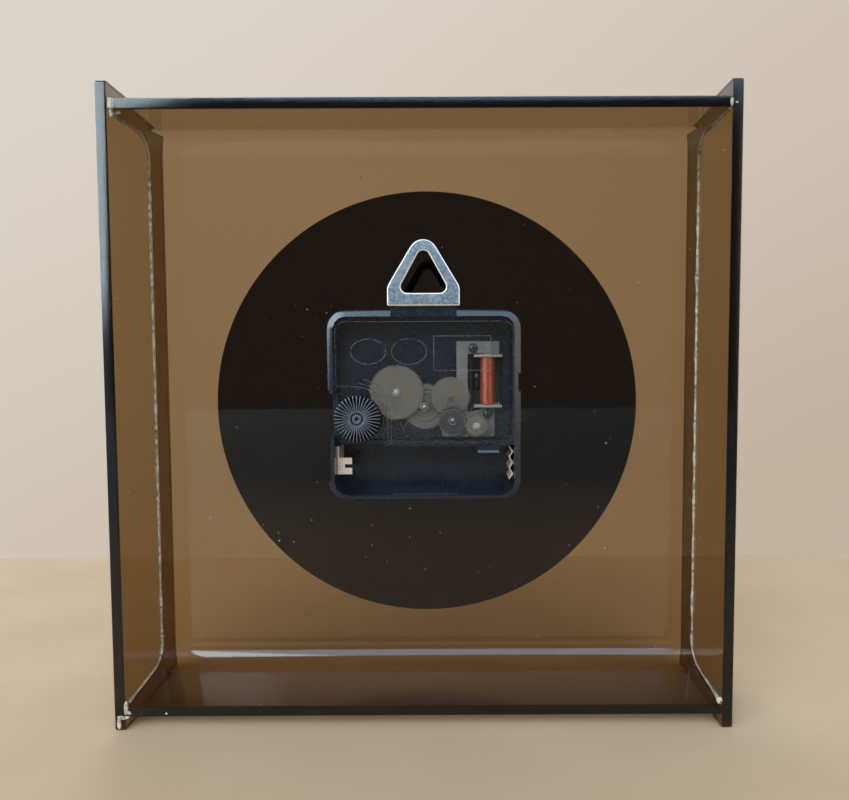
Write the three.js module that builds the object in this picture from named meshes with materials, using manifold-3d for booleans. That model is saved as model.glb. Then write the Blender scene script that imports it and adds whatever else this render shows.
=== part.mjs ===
// Square desk clock in smoked acrylic, open at the back, with a battery quartz movement.
// Millimetres, +Z up. The dial faces -Y and the open back faces +Y.
// The origin is the middle of the footprint, on the surface that the side panels stand on.

import * as THREE from 'three';
import { mergeVertices } from 'three/addons/utils/BufferGeometryUtils.js';
import Module from 'manifold-3d';

const wasm = await Module();
wasm.setup();

// Clearances
const cementFilm = 0.05; // between pieces that are glued or lie flat on each other
const running = 0.05; // between a turning shaft and its bore, on the radius
const pressed = 0.02; // between a shaft and what is pressed onto it
const seat = 0.15; // round a piece that drops into a pocket
const layerGap = 0.3; // between neighbouring wheels along the arbors
const bite = 0.1; // how far shapes that make one piece reach into each other

// Acrylic case
const acrylic = 3;
const innerWidth = 170.6; // between the side panels
const panelHeight = 182;
const topInset = 4.8; // the panels stand this far above the bent sheet
const footHeight = 4.1; // and this far below it
const frontProud = 8.7; // and this far in front of it
const rimInset = 6.3; // open back to the movement's rim
const edgeSetback = 0.2; // the bent sheet's rear edges sit this far inside
const bendRadius = 6.5; // inside both bends
const arris = 0.3; // broken edges of the panels
const panelCorner = 1;
const seamWidth = 1; // cement bead along the bent sheet
const seamHeight = 1.3; // cement bead up the side panel

// Dial
const dialRadius = 66.7;
const dialThickness = 1.5;
const dialBevel = 0.25; // broken front edge of the disc
const dialShift = -0.4; // the dial and movement sit a little off the middle
const arborLift = 1.35; // hands' axis above the middle of the front sheet
const markerLength = 9;
const markerWidth = 1.8;
const markerThickness = 0.8;
const markerBevel = 0.2;
const markerMargin = 4; // marker's outer end to the dial's edge
const hours = 12;

// Movement housing, seen from the dial side with the arbor at 0, 0
const movementWidth = 56;
const movementTop = 28.1;
const movementBottom = 26.9;
const movementCorner = 5.4;
const housingWall = 1.9;
const frontWall = 1.4;
const rimRound = 0.8;
const coverThickness = 1;
const coverLedge = 0.5; // step in the walls that carries the cover
const coverRecess = 1; // rim to the cover's face
const coverOverhang = 0.7; // the cover reaches past the battery bay's wall
const chamberCorner = 3;
const batteryLength = 52.2;
const batteryRoom = 14.7;
const batteryCorner = 4;
const bayRadius = 0.2; // the bay's corners at the partition
const bayWall = 1.3;
const partition = 1;
const socketNeck = 17.2; // the hanger's socket where it leaves the top wall
const socketInset = 0.4; // socket's sides inside the hanger's edges
const socketRoot = 1.1; // how deep the socket is rooted in the top wall
const rimOpening = 19; // the rim is cut away in front of the hanger
const sideRecess = 0.8; // step outside the wall next to the knob
const recessTop = 8.5; // above the knob's axis
const knobSlotBelow = 5.2; // the knob's edge shows through a slot in that wall
const knobSlotAbove = 7.4;
const pryNotchBottom = 4.5; // a notch in the other wall lifts the cover
const pryNotchHeight = 5.4;
const pryNotchDepth = 6;
const pillarRadius = 1.2;
const pillarPin = 0.7;
const pillarInset = 3.6; // from the chamber's walls
const clipLeft = -21.8; // hook that holds the cover down
const clipWidth = 6.5;
const clipThickness = 0.7;
const clipHold = 0.5; // how far it reaches over the cover

// Wheel levels, measured back from the housing's front face
const wheelThickness = 0.9;
const hourLevel = frontWall + layerGap;
const motionLevel = hourLevel + wheelThickness + layerGap;
const centreLevel = motionLevel + wheelThickness + layerGap;
const plateLevel = centreLevel + wheelThickness + 0.4; // room for the centre wheel's keeper
const plateThickness = 1.1;
const plateTop = plateLevel + plateThickness;
const wheelSpacing = 0.6; // between the wheels behind the train plate
const secondsLevel = plateTop + wheelSpacing;
const upperLevel = secondsLevel + wheelThickness + wheelSpacing;
const rotorLevel = upperLevel + wheelThickness + wheelSpacing;
const shoulderEnd = rotorLevel + wheelThickness + 0.25;
const pivotLength = 1.2;
const pivotSocket = 0.6; // blind hole in the front wall
const bossFloor = 1.55; // cover material over the blind pivot holes
const coverLevel = shoulderEnd + pivotLength + bossFloor;
const movementDepth = coverLevel + coverThickness + coverRecess;

// Arbors and tubes
const secondsRadius = 0.45;
const minuteRadius = 1.4;
const hourRadius = 2.3;
const bushingRadius = 4;
const arborRadius = 0.7;
const pivotRadius = 0.4;
const bossRadius = 1.3; // cover's bearings
const shaftRadius = 1.2; // hand-setting shaft
const studRadius = 0.7; // carries the motion wheel
const bearingRadius = 1.1; // third wheel's journal in the train plate
const wheelBoss = 1.24; // pale hubs seen through the cover
const keeperRadius = 2; // collars that hold the centre wheel on the minute tube

// Fixing through the dial
const dialHole = 4.5; // radius of the hole in the front sheet
const rubberThickness = 1;
const rubberRadius = 8;
const washerRadius = 7;
const washerThickness = 0.5;
const nutWidth = 11;
const nutHeight = 2.2;
const nutChamfer = 0.7; // corners are turned down on the front
const bushingSpare = 0.3; // bushing past the nut
const tubeStep = 1.45; // each tube stands this far past the one round it

// Gear pairs: the driver is the pinion towards the rotor
const rotorPair = { module: 0.4, driver: 16, driven: 20 };
const reductionPair = { module: 0.24, driver: 10, driven: 48 };
const secondsPair = { module: 0.27, driver: 10, driven: 50 };
const thirdPair = { module: 0.267, driver: 10, driven: 60 };
const motionPair = { module: 0.42, driver: 10, driven: 30 };
const settingPair = { module: 0.42, driver: 30, driven: 25 };

// Directions from one axis to the next, in degrees from +X towards +Z
const intermediateBearing = 158.7;
const reductionBearing = -95.4;
const rotorBearing = 193.5;
const thirdBearing = 26.9;
const settingBearing = -9.9;

// Tooth forms: heights in modules, the flat tip as a share of the pitch
const wheelForm = { addendum: 0.8, dedendum: 1.3, tip: 0.14 };
const pinionForm = { addendum: 0.7, dedendum: 1.4, tip: 0.12 };

// Hand setting knob
const knobRadius = 6.9;
const knobRibs = 36;
const knobHub = 2.6;
const knobRibHeight = 2.8;
const knobBase = 0.8;
const knobSink = 2.3; // knob's front face below the cover's front face
const knobLift = 0.4; // between the knob and the well's floor
const knobCap = 1.2; // knob's material over the end of its shaft
const knobDish = 0.5; // hollow in the middle of the knob
const knobDishWall = 0.6; // hub left round the hollow
const knobEye = 0.65; // radius of the blind hole in the hollow
const knobEyeDepth = 0.45;
const knobWell = 9.65; // radius of the cover's cut-out round the knob
const wellFloor = 0.9;
const wellSkirt = 0.9;

// Hanger
const hangerThickness = 1;
const hangerWidth = 20.8;
const hangerHeight = 18.8;
const hangerLift = 1.1; // above the housing's top wall
const hangerStand = 0.4; // its face behind the rim
const hangerFootWidth = 16;
const hangerFootDepth = 7;
const socketWall = 1.25;
const hangerApex = 4.15; // radius over the eye
const hangerShoulder = 3; // radius at the sides
const hangerCorner = 0.4; // radius at the base
const hangerSkirt = 1.6; // straight side below the shoulders
const hangerRail = 3.1; // metal over the eye
const hangerSill = 3.6; // and below it
const hangerSide = 3.9; // and beside it
const eyeRadius = 1.83; // eye's corners

// Stepping motor
const statorThickness = 0.9;
const coreThickness = 0.8;
const coreWidth = 2;
const coilRadius = 2.35;
const coilLength = 14;
const coilX = -18.65;
const coilBottom = 0.5;
const barrelRadius = 1.55;
const flangeWidth = 8.25;
const flangeDepth = 5.6;
const flangeThickness = 0.8;
const windowRoom = 0.4; // round the coil where the train plate is open
const statorBar = 3.8; // width of the stator across the coil's top
const statorOuter = 3.4; // stator's edge outside the coil's axis
const statorTail = 3.2; // stator's edge past the reduction wheel's axis
const limbWidth = 3.3; // and beside the coil
const poleRim = 0.6; // and round the rotor
const lugRadius = 1.6; // core's ends
const magnetRadius = 2.2;
const magnetHeight = 2;
const rotorHole = 2.8;
const postRadius = 1;
const postFoot = 1.4;
const postHead = 1.3;
const postHeadHeight = 0.45;

// Electronics and battery contacts
const boardThickness = 0.8;
const boardRoom = 0.5; // round the board
const boardEdge = 9.6; // nearest edge to the hands' axis
const boardTop = 20;
const chipRadius = 3;
const chipHeight = 1.1;
const crystalRadius = 1;
const crystalLength = 6;
const leadLength = 2;
const leadThickness = 0.3;
const leadPitch = 0.8;
const contactSheet = 0.4;
const contactRoom = 0.9; // below the bay's upper wall
const leafLength = 4.3;
const leafWidth = 4.9;
const leafSlot = 1.1;
const leafSink = 5; // leaf in front of the rim
const waves = 3;
const waveDepth = 0.45;
const wavesSink = 4; // wavy strip's edge in front of the rim

// Hands
const hourBlade = { length: 36, tail: 9, tailWidth: 5.2, tipWidth: 4, corner: 0.4 };
const minuteBlade = { length: 52, tail: 11, tailWidth: 4.4, tipWidth: 3, corner: 0.4 };
const secondBlade = { length: 50, tail: 15, tipRadius: 0.25, tailRadius: 1.3, capRadius: 1.5 };
const bladeThickness = 0.4;
const collarLength = 1;
const collarStep = 0.8; // blade's front face in front of the collar's rear
const capDepth = 0.6; // how far the seconds arbor reaches into its hand
const capWall = 0.3; // metal over the arbor's end
const capGap = 0.15;

// Facets of a round piece
const smallSides = 8;
const middleSides = 12;
const fineSides = 24;

const origin = { x: 0, z: 0 };

// Outlines lie in X and Z, seen from the dial side

function polar(centre, distance, degrees) {
  const angle = THREE.MathUtils.degToRad(degrees);
  return { x: centre.x + distance * Math.cos(angle), z: centre.z + distance * Math.sin(angle) };
}

function arc(x, z, radius, from, to, steps) {
  const points = [];
  for (let i = 0; i <= steps; i += 1) {
    const angle = from + (to - from) * i / steps;
    points.push([x + radius * Math.cos(angle), z + radius * Math.sin(angle)]);
  }
  return points;
}

// The stretched band round a ring of circles, given counter-clockwise as [x, z, radius]
function bandRound(circles, stepsPerTurn = fineSides) {
  const count = circles.length;
  const normals = circles.map(([x, z, radius], i) => {
    const [nextX, nextZ, nextRadius] = circles[(i + 1) % count];
    const dx = nextX - x;
    const dz = nextZ - z;
    return Math.atan2(dz, dx) - Math.acos((radius - nextRadius) / Math.hypot(dx, dz));
  });
  const points = circles.flatMap(([x, z, radius], i) => {
    const from = normals[(i + count - 1) % count];
    let to = normals[i];
    while (to < from) to += 2 * Math.PI;
    const steps = Math.max(1, Math.round((to - from) / (2 * Math.PI) * stepsPerTurn));
    return arc(x, z, radius, from, to, steps);
  });
  return points;
}

function roundedRectangle(left, right, bottom, top, radius, stepsPerTurn = fineSides) {
  return bandRound([
    [left + radius, bottom + radius, radius],
    [right - radius, bottom + radius, radius],
    [right - radius, top - radius, radius],
    [left + radius, top - radius, radius],
  ], stepsPerTurn);
}

function shapeOf(points) {
  return new THREE.Shape(points.map(([x, z]) => new THREE.Vector2(x, z)));
}

// Solids

function slab(points, front, rear, rim = 0, rimSteps = 1) {
  const geometry = new THREE.ExtrudeGeometry(shapeOf(points), {
    depth: rear - front - 2 * rim,
    bevelEnabled: rim > 0,
    bevelThickness: rim,
    bevelSize: rim,
    bevelOffset: -rim,
    bevelSegments: rimSteps,
  });
  geometry.rotateX(Math.PI / 2);
  geometry.translate(0, rear - rim, 0);
  return geometry;
}

// The same, for an outline in Y and Z that is pushed out along X
function slabAlongX(points, left, right, rim = 0) {
  const geometry = new THREE.ExtrudeGeometry(shapeOf(points), {
    depth: right - left - 2 * rim,
    bevelEnabled: rim > 0,
    bevelThickness: rim,
    bevelSize: rim,
    bevelOffset: -rim,
    bevelSegments: 1,
  });
  geometry.applyMatrix4(new THREE.Matrix4().makeBasis(
    new THREE.Vector3(0, 1, 0),
    new THREE.Vector3(0, 0, 1),
    new THREE.Vector3(1, 0, 0),
  ));
  geometry.translate(left + rim, 0, 0);
  return geometry;
}

function block(left, right, front, rear, bottom, top) {
  const geometry = new THREE.BoxGeometry(right - left, rear - front, top - bottom);
  geometry.translate((left + right) / 2, (front + rear) / 2, (bottom + top) / 2);
  return geometry;
}

function rod(centre, radius, front, rear, sides = middleSides) {
  const geometry = new THREE.CylinderGeometry(radius, radius, rear - front, sides);
  geometry.translate(centre.x, (front + rear) / 2, centre.z);
  return geometry;
}

// Profile points are [radius, y] from the axis round to the axis
function turned(centre, profile, sides) {
  const geometry = new THREE.LatheGeometry(profile.map(([r, y]) => new THREE.Vector2(r, y)), sides);
  geometry.translate(centre.x, 0, centre.z);
  return geometry;
}

// A faceted bore whose flats clear a shaft's corners by the given room
function boreFor(radius, room, sides = middleSides) {
  return (radius + room) / Math.cos(Math.PI / sides);
}

function bore(centre, radius, room, front, rear, sides = middleSides) {
  return rod(centre, boreFor(radius, room, sides), front, rear, sides);
}

function toSolid(geometry) {
  if (!geometry.isBufferGeometry) return geometry;
  const bare = geometry.clone();
  bare.deleteAttribute('normal');
  bare.deleteAttribute('uv');
  const merged = mergeVertices(bare, 1e-4);
  const corners = merged.index.array;
  const faces = [];
  for (let i = 0; i < corners.length; i += 3) {
    const [a, b, c] = [corners[i], corners[i + 1], corners[i + 2]];
    if (a !== b && b !== c && c !== a) faces.push(a, b, c);
  }
  return new wasm.Manifold(new wasm.Mesh({
    numProp: 3,
    vertProperties: new Float32Array(merged.attributes.position.array),
    triVerts: new Uint32Array(faces),
  }));
}

function join(...pieces) {
  return pieces.map(toSolid).reduce((whole, piece) => whole.add(piece));
}

function cut(base, ...tools) {
  return tools.map(toSolid).reduce((whole, tool) => whole.subtract(tool), toSolid(base));
}

function toGeometry(solid) {
  const mesh = solid.getMesh();
  const geometry = new THREE.BufferGeometry();
  geometry.setAttribute('position', new THREE.BufferAttribute(mesh.vertProperties, 3));
  geometry.setIndex(new THREE.BufferAttribute(mesh.triVerts, 1));
  geometry.computeVertexNormals();
  return geometry;
}

// Gears

function centreDistance(pair) {
  return pair.module * (pair.driver + pair.driven) / 2;
}

// Flat-topped teeth with a sharp gullet between them; one points along the phase angle
function toothed(teeth, module, phase, form) {
  const pitch = module * teeth / 2;
  const root = pitch - form.dedendum * module;
  const tip = pitch + form.addendum * module;
  const step = 2 * Math.PI / teeth;
  const points = [];
  for (let i = 0; i < teeth; i += 1) {
    for (const [radius, share] of [[tip, -form.tip / 2], [tip, form.tip / 2], [root, 0.5]]) {
      const angle = phase + (i + share) * step;
      points.push([radius * Math.cos(angle), radius * Math.sin(angle)]);
    }
  }
  return points;
}

function gear(centre, teeth, module, phase, form, level, thickness = wheelThickness) {
  const geometry = slab(toothed(teeth, module, phase, form), level, level + thickness);
  geometry.translate(centre.x, 0, centre.z);
  return geometry;
}

// The driven wheel's phase that puts a gap where the driver's tooth points, along a bearing
function meshPhase(pair, driverPhase, degrees) {
  const bearing = THREE.MathUtils.degToRad(degrees);
  const share = 0.5 - pair.driver * (driverPhase - bearing) / (2 * Math.PI);
  return bearing + Math.PI + share * 2 * Math.PI / pair.driven;
}

const intermediateAt = polar(origin, centreDistance(secondsPair), intermediateBearing);
const reductionAt = polar(intermediateAt, centreDistance(reductionPair), reductionBearing);
const rotorAt = polar(reductionAt, centreDistance(rotorPair), rotorBearing);
const thirdAt = polar(origin, centreDistance(thirdPair), thirdBearing);
const motionAt = polar(origin, centreDistance(motionPair), settingBearing);
const settingAt = polar(motionAt, centreDistance(settingPair), settingBearing);

// Two more pairs share the axes above, so their modules follow from the distances
const centrePair = { driver: 6, driven: 60 };
centrePair.module = 2 * centreDistance(thirdPair) / (centrePair.driver + centrePair.driven);
const hourPair = { driver: 8, driven: 32 };
hourPair.module = 2 * centreDistance(motionPair) / (hourPair.driver + hourPair.driven);

// Case places
const wrapInnerDepth = rimInset + movementDepth + rubberThickness;
const panelDepth = wrapInnerDepth + acrylic + frontProud;
const openBack = panelDepth / 2;
const sheetInner = openBack - wrapInnerDepth; // Y of the front sheet's inner face
const sheetOuter = sheetInner - acrylic;
const sheetTop = panelHeight - topInset - acrylic; // Z of the top sheet's inner face
const sheetBottom = footHeight + acrylic; // Z of the bottom sheet's inner face
const arborHeight = (sheetTop + sheetBottom) / 2 + arborLift;

// Dial fixing, measured in the movement's own frame
const stackFront = -rubberThickness - acrylic;
const dialFront = stackFront - cementFilm - dialThickness;
const washerFront = dialFront - cementFilm - washerThickness;
const nutFront = washerFront - cementFilm - nutHeight;
const bushingEnd = nutFront - bushingSpare;
const hourTubeEnd = bushingEnd - tubeStep;
const minuteTubeEnd = hourTubeEnd - tubeStep;
const secondsArborEnd = minuteTubeEnd - capGap - capDepth + cementFilm;

// Stations along the bent sheet's inner face as [y, z, outward y, outward z], top edge to bottom edge
function wrapStations() {
  const rear = openBack - edgeSetback;
  const stations = [[rear, sheetTop, 0, 1]];
  const bends = [
    [sheetTop - bendRadius, Math.PI / 2],
    [sheetBottom + bendRadius, Math.PI],
  ];
  for (const [centreZ, from] of bends) {
    for (const [y, z] of arc(0, 0, 1, from, from + Math.PI / 2, 10)) {
      stations.push([sheetInner + bendRadius * (1 + y), centreZ + bendRadius * z, y, z]);
    }
  }
  stations.push([rear, sheetBottom, 0, -1]);
  return stations;
}

function offsetStations(distance) {
  return wrapStations().map(([y, z, outY, outZ]) => [y + distance * outY, z + distance * outZ]);
}

function caseWrap() {
  const profile = [...offsetStations(acrylic), ...offsetStations(0).reverse()];
  const half = innerWidth / 2 - cementFilm;
  const hole = rod({ x: dialShift, z: arborHeight }, dialHole, sheetOuter - 1, sheetInner + 1, fineSides);
  return cut(slabAlongX(profile, -half, half), hole);
}

function sidePanel(side) {
  const outline = roundedRectangle(-panelDepth / 2, panelDepth / 2, 0, panelHeight, panelCorner, middleSides);
  const inner = side * innerWidth / 2;
  const outer = inner + side * acrylic;
  return slabAlongX(outline, Math.min(inner, outer), Math.max(inner, outer), arris);
}

// A bead in the corner between the bent sheet and a side panel, swept along the sheet
function cementSeam(side) {
  const wall = innerWidth / 2 - cementFilm;
  const section = [
    [wall, -cementFilm],
    [wall - seamWidth, -cementFilm],
    [wall - seamWidth / 2, -seamHeight / 2],
    [wall - seamWidth / 5, -seamHeight],
    [wall, -seamHeight],
  ];
  const corners = side > 0 ? section.reverse() : section;
  const stations = wrapStations();
  const points = stations.flatMap(([y, z, outY, outZ]) => (
    corners.map(([x, out]) => [side * x, y + out * outY, z + out * outZ])
  ));
  const size = corners.length;
  const faces = [];
  for (let i = 0; i + 1 < stations.length; i += 1) {
    for (let j = 0; j < size; j += 1) {
      const a = i * size + j;
      const b = i * size + (j + 1) % size;
      faces.push(a, a + size, b, b, a + size, b + size);
    }
  }
  const last = (stations.length - 1) * size;
  for (let j = 1; j + 1 < size; j += 1) {
    faces.push(0, j, j + 1, last, last + j + 1, last + j);
  }
  const geometry = new THREE.BufferGeometry();
  geometry.setAttribute('position', new THREE.Float32BufferAttribute(points.flat(), 3));
  geometry.setIndex(faces);
  return geometry;
}

// Dial side, in the movement's frame

function dialDisc() {
  const hole = boreFor(bushingRadius, seat, fineSides);
  const rear = stackFront - cementFilm;
  return turned(origin, [
    [hole, dialFront],
    [dialRadius - dialBevel, dialFront],
    [dialRadius, rear],
    [hole, rear],
    [hole, dialFront],
  ], 60);
}

function hourMarker(hour) {
  const rear = dialFront - cementFilm;
  const outer = dialRadius - markerMargin;
  const half = markerWidth / 2;
  const inner = outer - markerLength;
  const outline = [[-half, inner], [half, inner], [half, outer], [-half, outer]];
  const marker = slab(outline, rear - markerThickness, rear, markerBevel);
  return marker.rotateY(hour / hours * 2 * Math.PI);
}

// A straight blade that tapers from the tail's width to the tip's
function blade(size) {
  const tail = size.tailWidth / 2 - size.corner;
  const tip = size.tipWidth / 2 - size.corner;
  const top = size.length - size.corner;
  return bandRound([
    [-tail, -size.tail, size.corner],
    [tail, -size.tail, size.corner],
    [tip, top, size.corner],
    [-tip, top, size.corner],
  ], smallSides);
}

// A blade pressed onto its tube with a short collar in front of it
function hand(size, tubeRadius, collarWall, rear) {
  const collar = rod(origin, tubeRadius + collarWall, rear - collarLength, rear);
  const plate = slab(blade(size), rear - collarStep, rear - collarStep + bladeThickness);
  return cut(join(collar, plate), bore(origin, tubeRadius, pressed, rear - 2 * collarLength, rear + 1));
}

function hourHand() {
  return hand(hourBlade, hourRadius, 1, bushingEnd - layerGap);
}

function minuteHand() {
  return hand(minuteBlade, minuteRadius, 0.9, hourTubeEnd - layerGap);
}

function secondHand() {
  const { length, tail, tipRadius, tailRadius, capRadius } = secondBlade;
  const needle = bandRound([[0, -tail, tailRadius], [0, length - tipRadius, tipRadius]], middleSides);
  const rear = minuteTubeEnd - capGap;
  const front = rear - capDepth;
  const collar = rod(origin, capRadius, front - capWall, rear);
  const plate = slab(needle, front, front + bladeThickness);
  return cut(join(collar, plate), bore(origin, secondsRadius, pressed, front, rear + 1, smallSides));
}

function rubberWasher() {
  const ring = rod(origin, rubberRadius, -rubberThickness + cementFilm, -cementFilm, fineSides);
  return cut(ring, bore(origin, bushingRadius, seat, -rubberThickness - 1, 1, fineSides));
}

function dialWasher() {
  const ring = rod(origin, washerRadius, washerFront, washerFront + washerThickness, fineSides);
  return cut(ring, bore(origin, bushingRadius, seat, washerFront - 1, washerFront + 2, fineSides));
}

function fixingNut() {
  const across = nutWidth / Math.sqrt(3);
  const hexagon = rod(origin, across, nutFront, nutFront + nutHeight, 6);
  const cone = turned(origin, [
    [0, nutFront],
    [nutWidth / 2, nutFront],
    [across + bite, nutFront + nutChamfer],
    [across + bite, nutFront + nutHeight],
    [0, nutFront + nutHeight],
  ], fineSides);
  const body = toSolid(hexagon).intersect(toSolid(cone));
  const past = [nutFront - 1, nutFront + nutHeight + 1];
  return cut(body, bore(origin, bushingRadius, cementFilm, ...past, fineSides));
}

// Movement housing

const pocketSide = movementWidth / 2 - housingWall;
const chamberSide = pocketSide - coverLedge;
const pocketTop = movementTop - housingWall;
const chamberTop = pocketTop - coverLedge;
const bayBottom = -movementBottom + bayWall;
const bayTop = bayBottom + batteryRoom;
const chamberBottom = bayTop + partition;
const coverBottom = bayTop - coverOverhang;
const wellEdge = settingAt.x - knobWell + 0.3; // the cut-out runs straight down from here
const knobFront = coverLevel - knobSink;
const knobRear = knobFront + knobBase + knobRibHeight;
const wellTop = knobFront - knobLift; // rear face of the cover's sunk floor
const pillars = [
  { x: pillarInset - chamberSide, z: chamberTop - pillarInset },
  { x: chamberSide - pillarInset, z: chamberTop - pillarInset },
  { x: rotorAt.x / 2 + 1.1, z: chamberBottom + pillarRadius + seat * 2 },
];

function movementShell() {
  const half = movementWidth / 2;
  const outline = roundedRectangle(-half, half, -movementBottom, movementTop, movementCorner);
  const rounded = slab(outline, movementDepth / 2, movementDepth, rimRound, 2);
  return join(slab(outline, 0, movementDepth - rimRound - bite), rounded);
}

const hangerRear = movementDepth + hangerStand;
const hangerBase = movementTop + hangerLift;

function hangerSocket() {
  const half = hangerWidth / 2 - socketInset;
  const top = hangerBase + hangerThickness + 2 * seat + socketWall;
  const outline = [
    [-socketNeck / 2, movementTop - socketRoot],
    [socketNeck / 2, movementTop - socketRoot],
    [half, hangerBase],
    [half, top],
    [-half, top],
    [-half, hangerBase],
  ];
  return slab(outline, hangerRear - hangerFootDepth - 2, hangerRear - hangerThickness - seat);
}

function movementHousing() {
  const bay = bandRound([
    [-batteryLength / 2 + batteryCorner, bayBottom + batteryCorner, batteryCorner],
    [batteryLength / 2 - batteryCorner, bayBottom + batteryCorner, batteryCorner],
    [batteryLength / 2 - bayRadius, bayTop - bayRadius, bayRadius],
    [bayRadius - batteryLength / 2, bayTop - bayRadius, bayRadius],
  ], middleSides);
  const past = movementDepth + 1;
  const side = movementWidth / 2;
  const slotBottom = hangerBase - seat;
  const slotHalf = hangerFootWidth / 2 + seat;
  const body = join(
    movementShell(),
    hangerSocket(),
    rod(origin, bushingRadius, bushingEnd, frontWall, fineSides),
  );
  const hollowed = cut(
    body,
    slab(chamberOutline(0), frontWall, past),
    slab(pocketOutline(0), coverLevel - cementFilm, past),
    slab(bay, frontWall, past),
    block(wellEdge, side + 1, wellTop, past, settingAt.z - knobSlotBelow, settingAt.z + knobSlotAbove),
    block(wellEdge, pocketSide, wellTop, past, coverBottom - coverLedge, settingAt.z),
    block(side - sideRecess, side + 1, -1, past, movementCorner - movementBottom, settingAt.z + recessTop),
    block(-side - 1, sideRecess - side, movementDepth - pryNotchDepth, past,
      pryNotchBottom, pryNotchBottom + pryNotchHeight),
    block(-rimOpening / 2, rimOpening / 2, hangerRear - hangerThickness - seat, past,
      chamberTop + 2 * seat, movementTop + 1),
    block(-slotHalf, slotHalf, hangerRear - hangerFootDepth - seat, past,
      slotBottom, slotBottom + hangerThickness + 2 * seat),
    bore(origin, hourRadius, running, bushingEnd - 1, frontWall + 1, fineSides),
    bore(settingAt, pivotRadius, running, frontWall - pivotSocket, frontWall + 1, smallSides),
  );
  return join(hollowed, ...housingPosts(), coverClip());
}

function housingPosts() {
  const posts = pillars.flatMap((at) => [
    rod(at, pillarRadius, frontWall - bite, plateLevel - cementFilm),
    rod(at, pillarPin, frontWall - bite, plateTop + seat, smallSides),
  ]);
  const stud = rod(motionAt, studRadius, frontWall - bite, motionLevel + wheelThickness + bite, smallSides);
  return [...posts, stud];
}

// The hook that holds down the cover's lower edge
function coverClip() {
  const right = clipLeft + clipWidth;
  const edge = coverBottom - seat;
  const low = edge - clipThickness;
  const root = coverLevel - 2 * clipThickness;
  const lip = coverLevel + coverThickness + cementFilm;
  return join(
    block(clipLeft, right, root, coverLevel - seat, low, bayTop + bite),
    block(clipLeft, right, root, lip + clipThickness, low, edge),
    block(clipLeft, right, lip, lip + clipThickness, low, coverBottom + clipHold),
  );
}

// The clear cover: a flat top with a sunk well for the knob and blind bearings under it
function movementCover() {
  const wellOutside = wellOutline(knobWell);
  const wellInside = wellOutline(knobWell - wellSkirt);
  const face = coverLevel + coverThickness;
  const topPlate = cut(slab(pocketOutline(seat), coverLevel, face), slab(wellInside, 0, movementDepth));
  const wellBlock = toSolid(slab(chamberOutline(seat), wellTop - wellFloor, face))
    .intersect(toSolid(slab(wellOutside, 0, movementDepth)));
  const well = cut(wellBlock, slab(wellInside, wellTop, movementDepth));
  const axes = [thirdAt, intermediateAt, reductionAt, rotorAt];
  const bosses = [origin, ...axes].map((at) => rod(at, bossRadius, shoulderEnd + seat, coverLevel + bite));
  const holeEnd = shoulderEnd + pivotLength + seat;
  return cut(
    join(topPlate, well, ...bosses),
    ...axes.map((at) => bore(at, pivotRadius, running, 0, holeEnd, smallSides)),
    bore(origin, secondsRadius, running, 0, holeEnd, smallSides),
    bore(settingAt, shaftRadius, running, 0, movementDepth),
  );
}

// The room for the wheels and the wider step for the cover, drawn in by a clearance
function chamberOutline(inset) {
  const side = chamberSide - inset;
  const corner = chamberCorner - inset;
  return roundedRectangle(-side, side, chamberBottom + inset, chamberTop - inset, corner, middleSides);
}

function pocketOutline(inset) {
  const side = pocketSide - inset;
  const corner = chamberCorner + coverLedge - inset;
  return roundedRectangle(-side, side, coverBottom - seat + inset, pocketTop - inset, corner, middleSides);
}

// A quarter round the knob that runs out to the housing's side and down to its partition
function wellOutline(radius) {
  const { x, z } = settingAt;
  const left = Math.max(wellEdge, x - radius) + (knobWell - radius);
  const down = -movementBottom;
  const right = movementWidth / 2;
  return [
    [left, down],
    [right, down],
    [right, z + radius],
    ...arc(x, z, radius, Math.PI / 2, Math.PI, 10).map(([px, pz]) => [Math.max(px, left), pz]),
  ];
}

function trainPlate() {
  const ends = [plateLevel - 1, plateTop + 1];
  const arbors = [intermediateAt, reductionAt, rotorAt];
  const windowSide = flangeWidth / 2 + windowRoom;
  const windowEnd = flangeThickness + windowRoom;
  const coilWindow = block(coilX - windowSide, coilX + windowSide, ...ends,
    coilBottom - windowEnd, coilBottom + coilLength + windowEnd);
  const posts = corePosts.flatMap((at) => [
    rod(at, postFoot, plateTop - bite, secondsLevel - cementFilm),
    rod(at, postRadius, plateTop - bite, coreRear + bite),
    rod(at, postHead, coreRear + cementFilm, coreRear + postHeadHeight),
  ]);
  return join(cut(
    slab(chamberOutline(seat), plateLevel, plateTop),
    coilWindow,
    bore(origin, minuteRadius, running, ...ends),
    bore(thirdAt, bearingRadius, running, ...ends),
    ...arbors.map((at) => bore(at, pivotRadius, running, ...ends, smallSides)),
    bore(settingAt, shaftRadius, running, ...ends),
    ...pillars.map((at) => bore(at, pillarPin, seat / 2, ...ends, smallSides)),
  ), ...posts);
}

// Stepping motor

const coreFront = secondsLevel + statorThickness + cementFilm;
const coreRear = coreFront + coreThickness;
const coilAxis = (coreFront + coreRear) / 2;
const statorLeft = coilX - statorOuter;
const statorTopInner = coilBottom + coilLength + flangeThickness + seat;
const statorTopOuter = statorTopInner + statorBar;
const statorLow = coilBottom - flangeThickness - seat;
const limbRight = intermediateAt.x - bearingRadius - 0.75;
const corePosts = [
  { x: limbRight - limbWidth - lugRadius, z: (statorTopInner + statorTopOuter) / 2 },
  { x: coilX, z: statorLow - lugRadius - seat },
];

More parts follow.
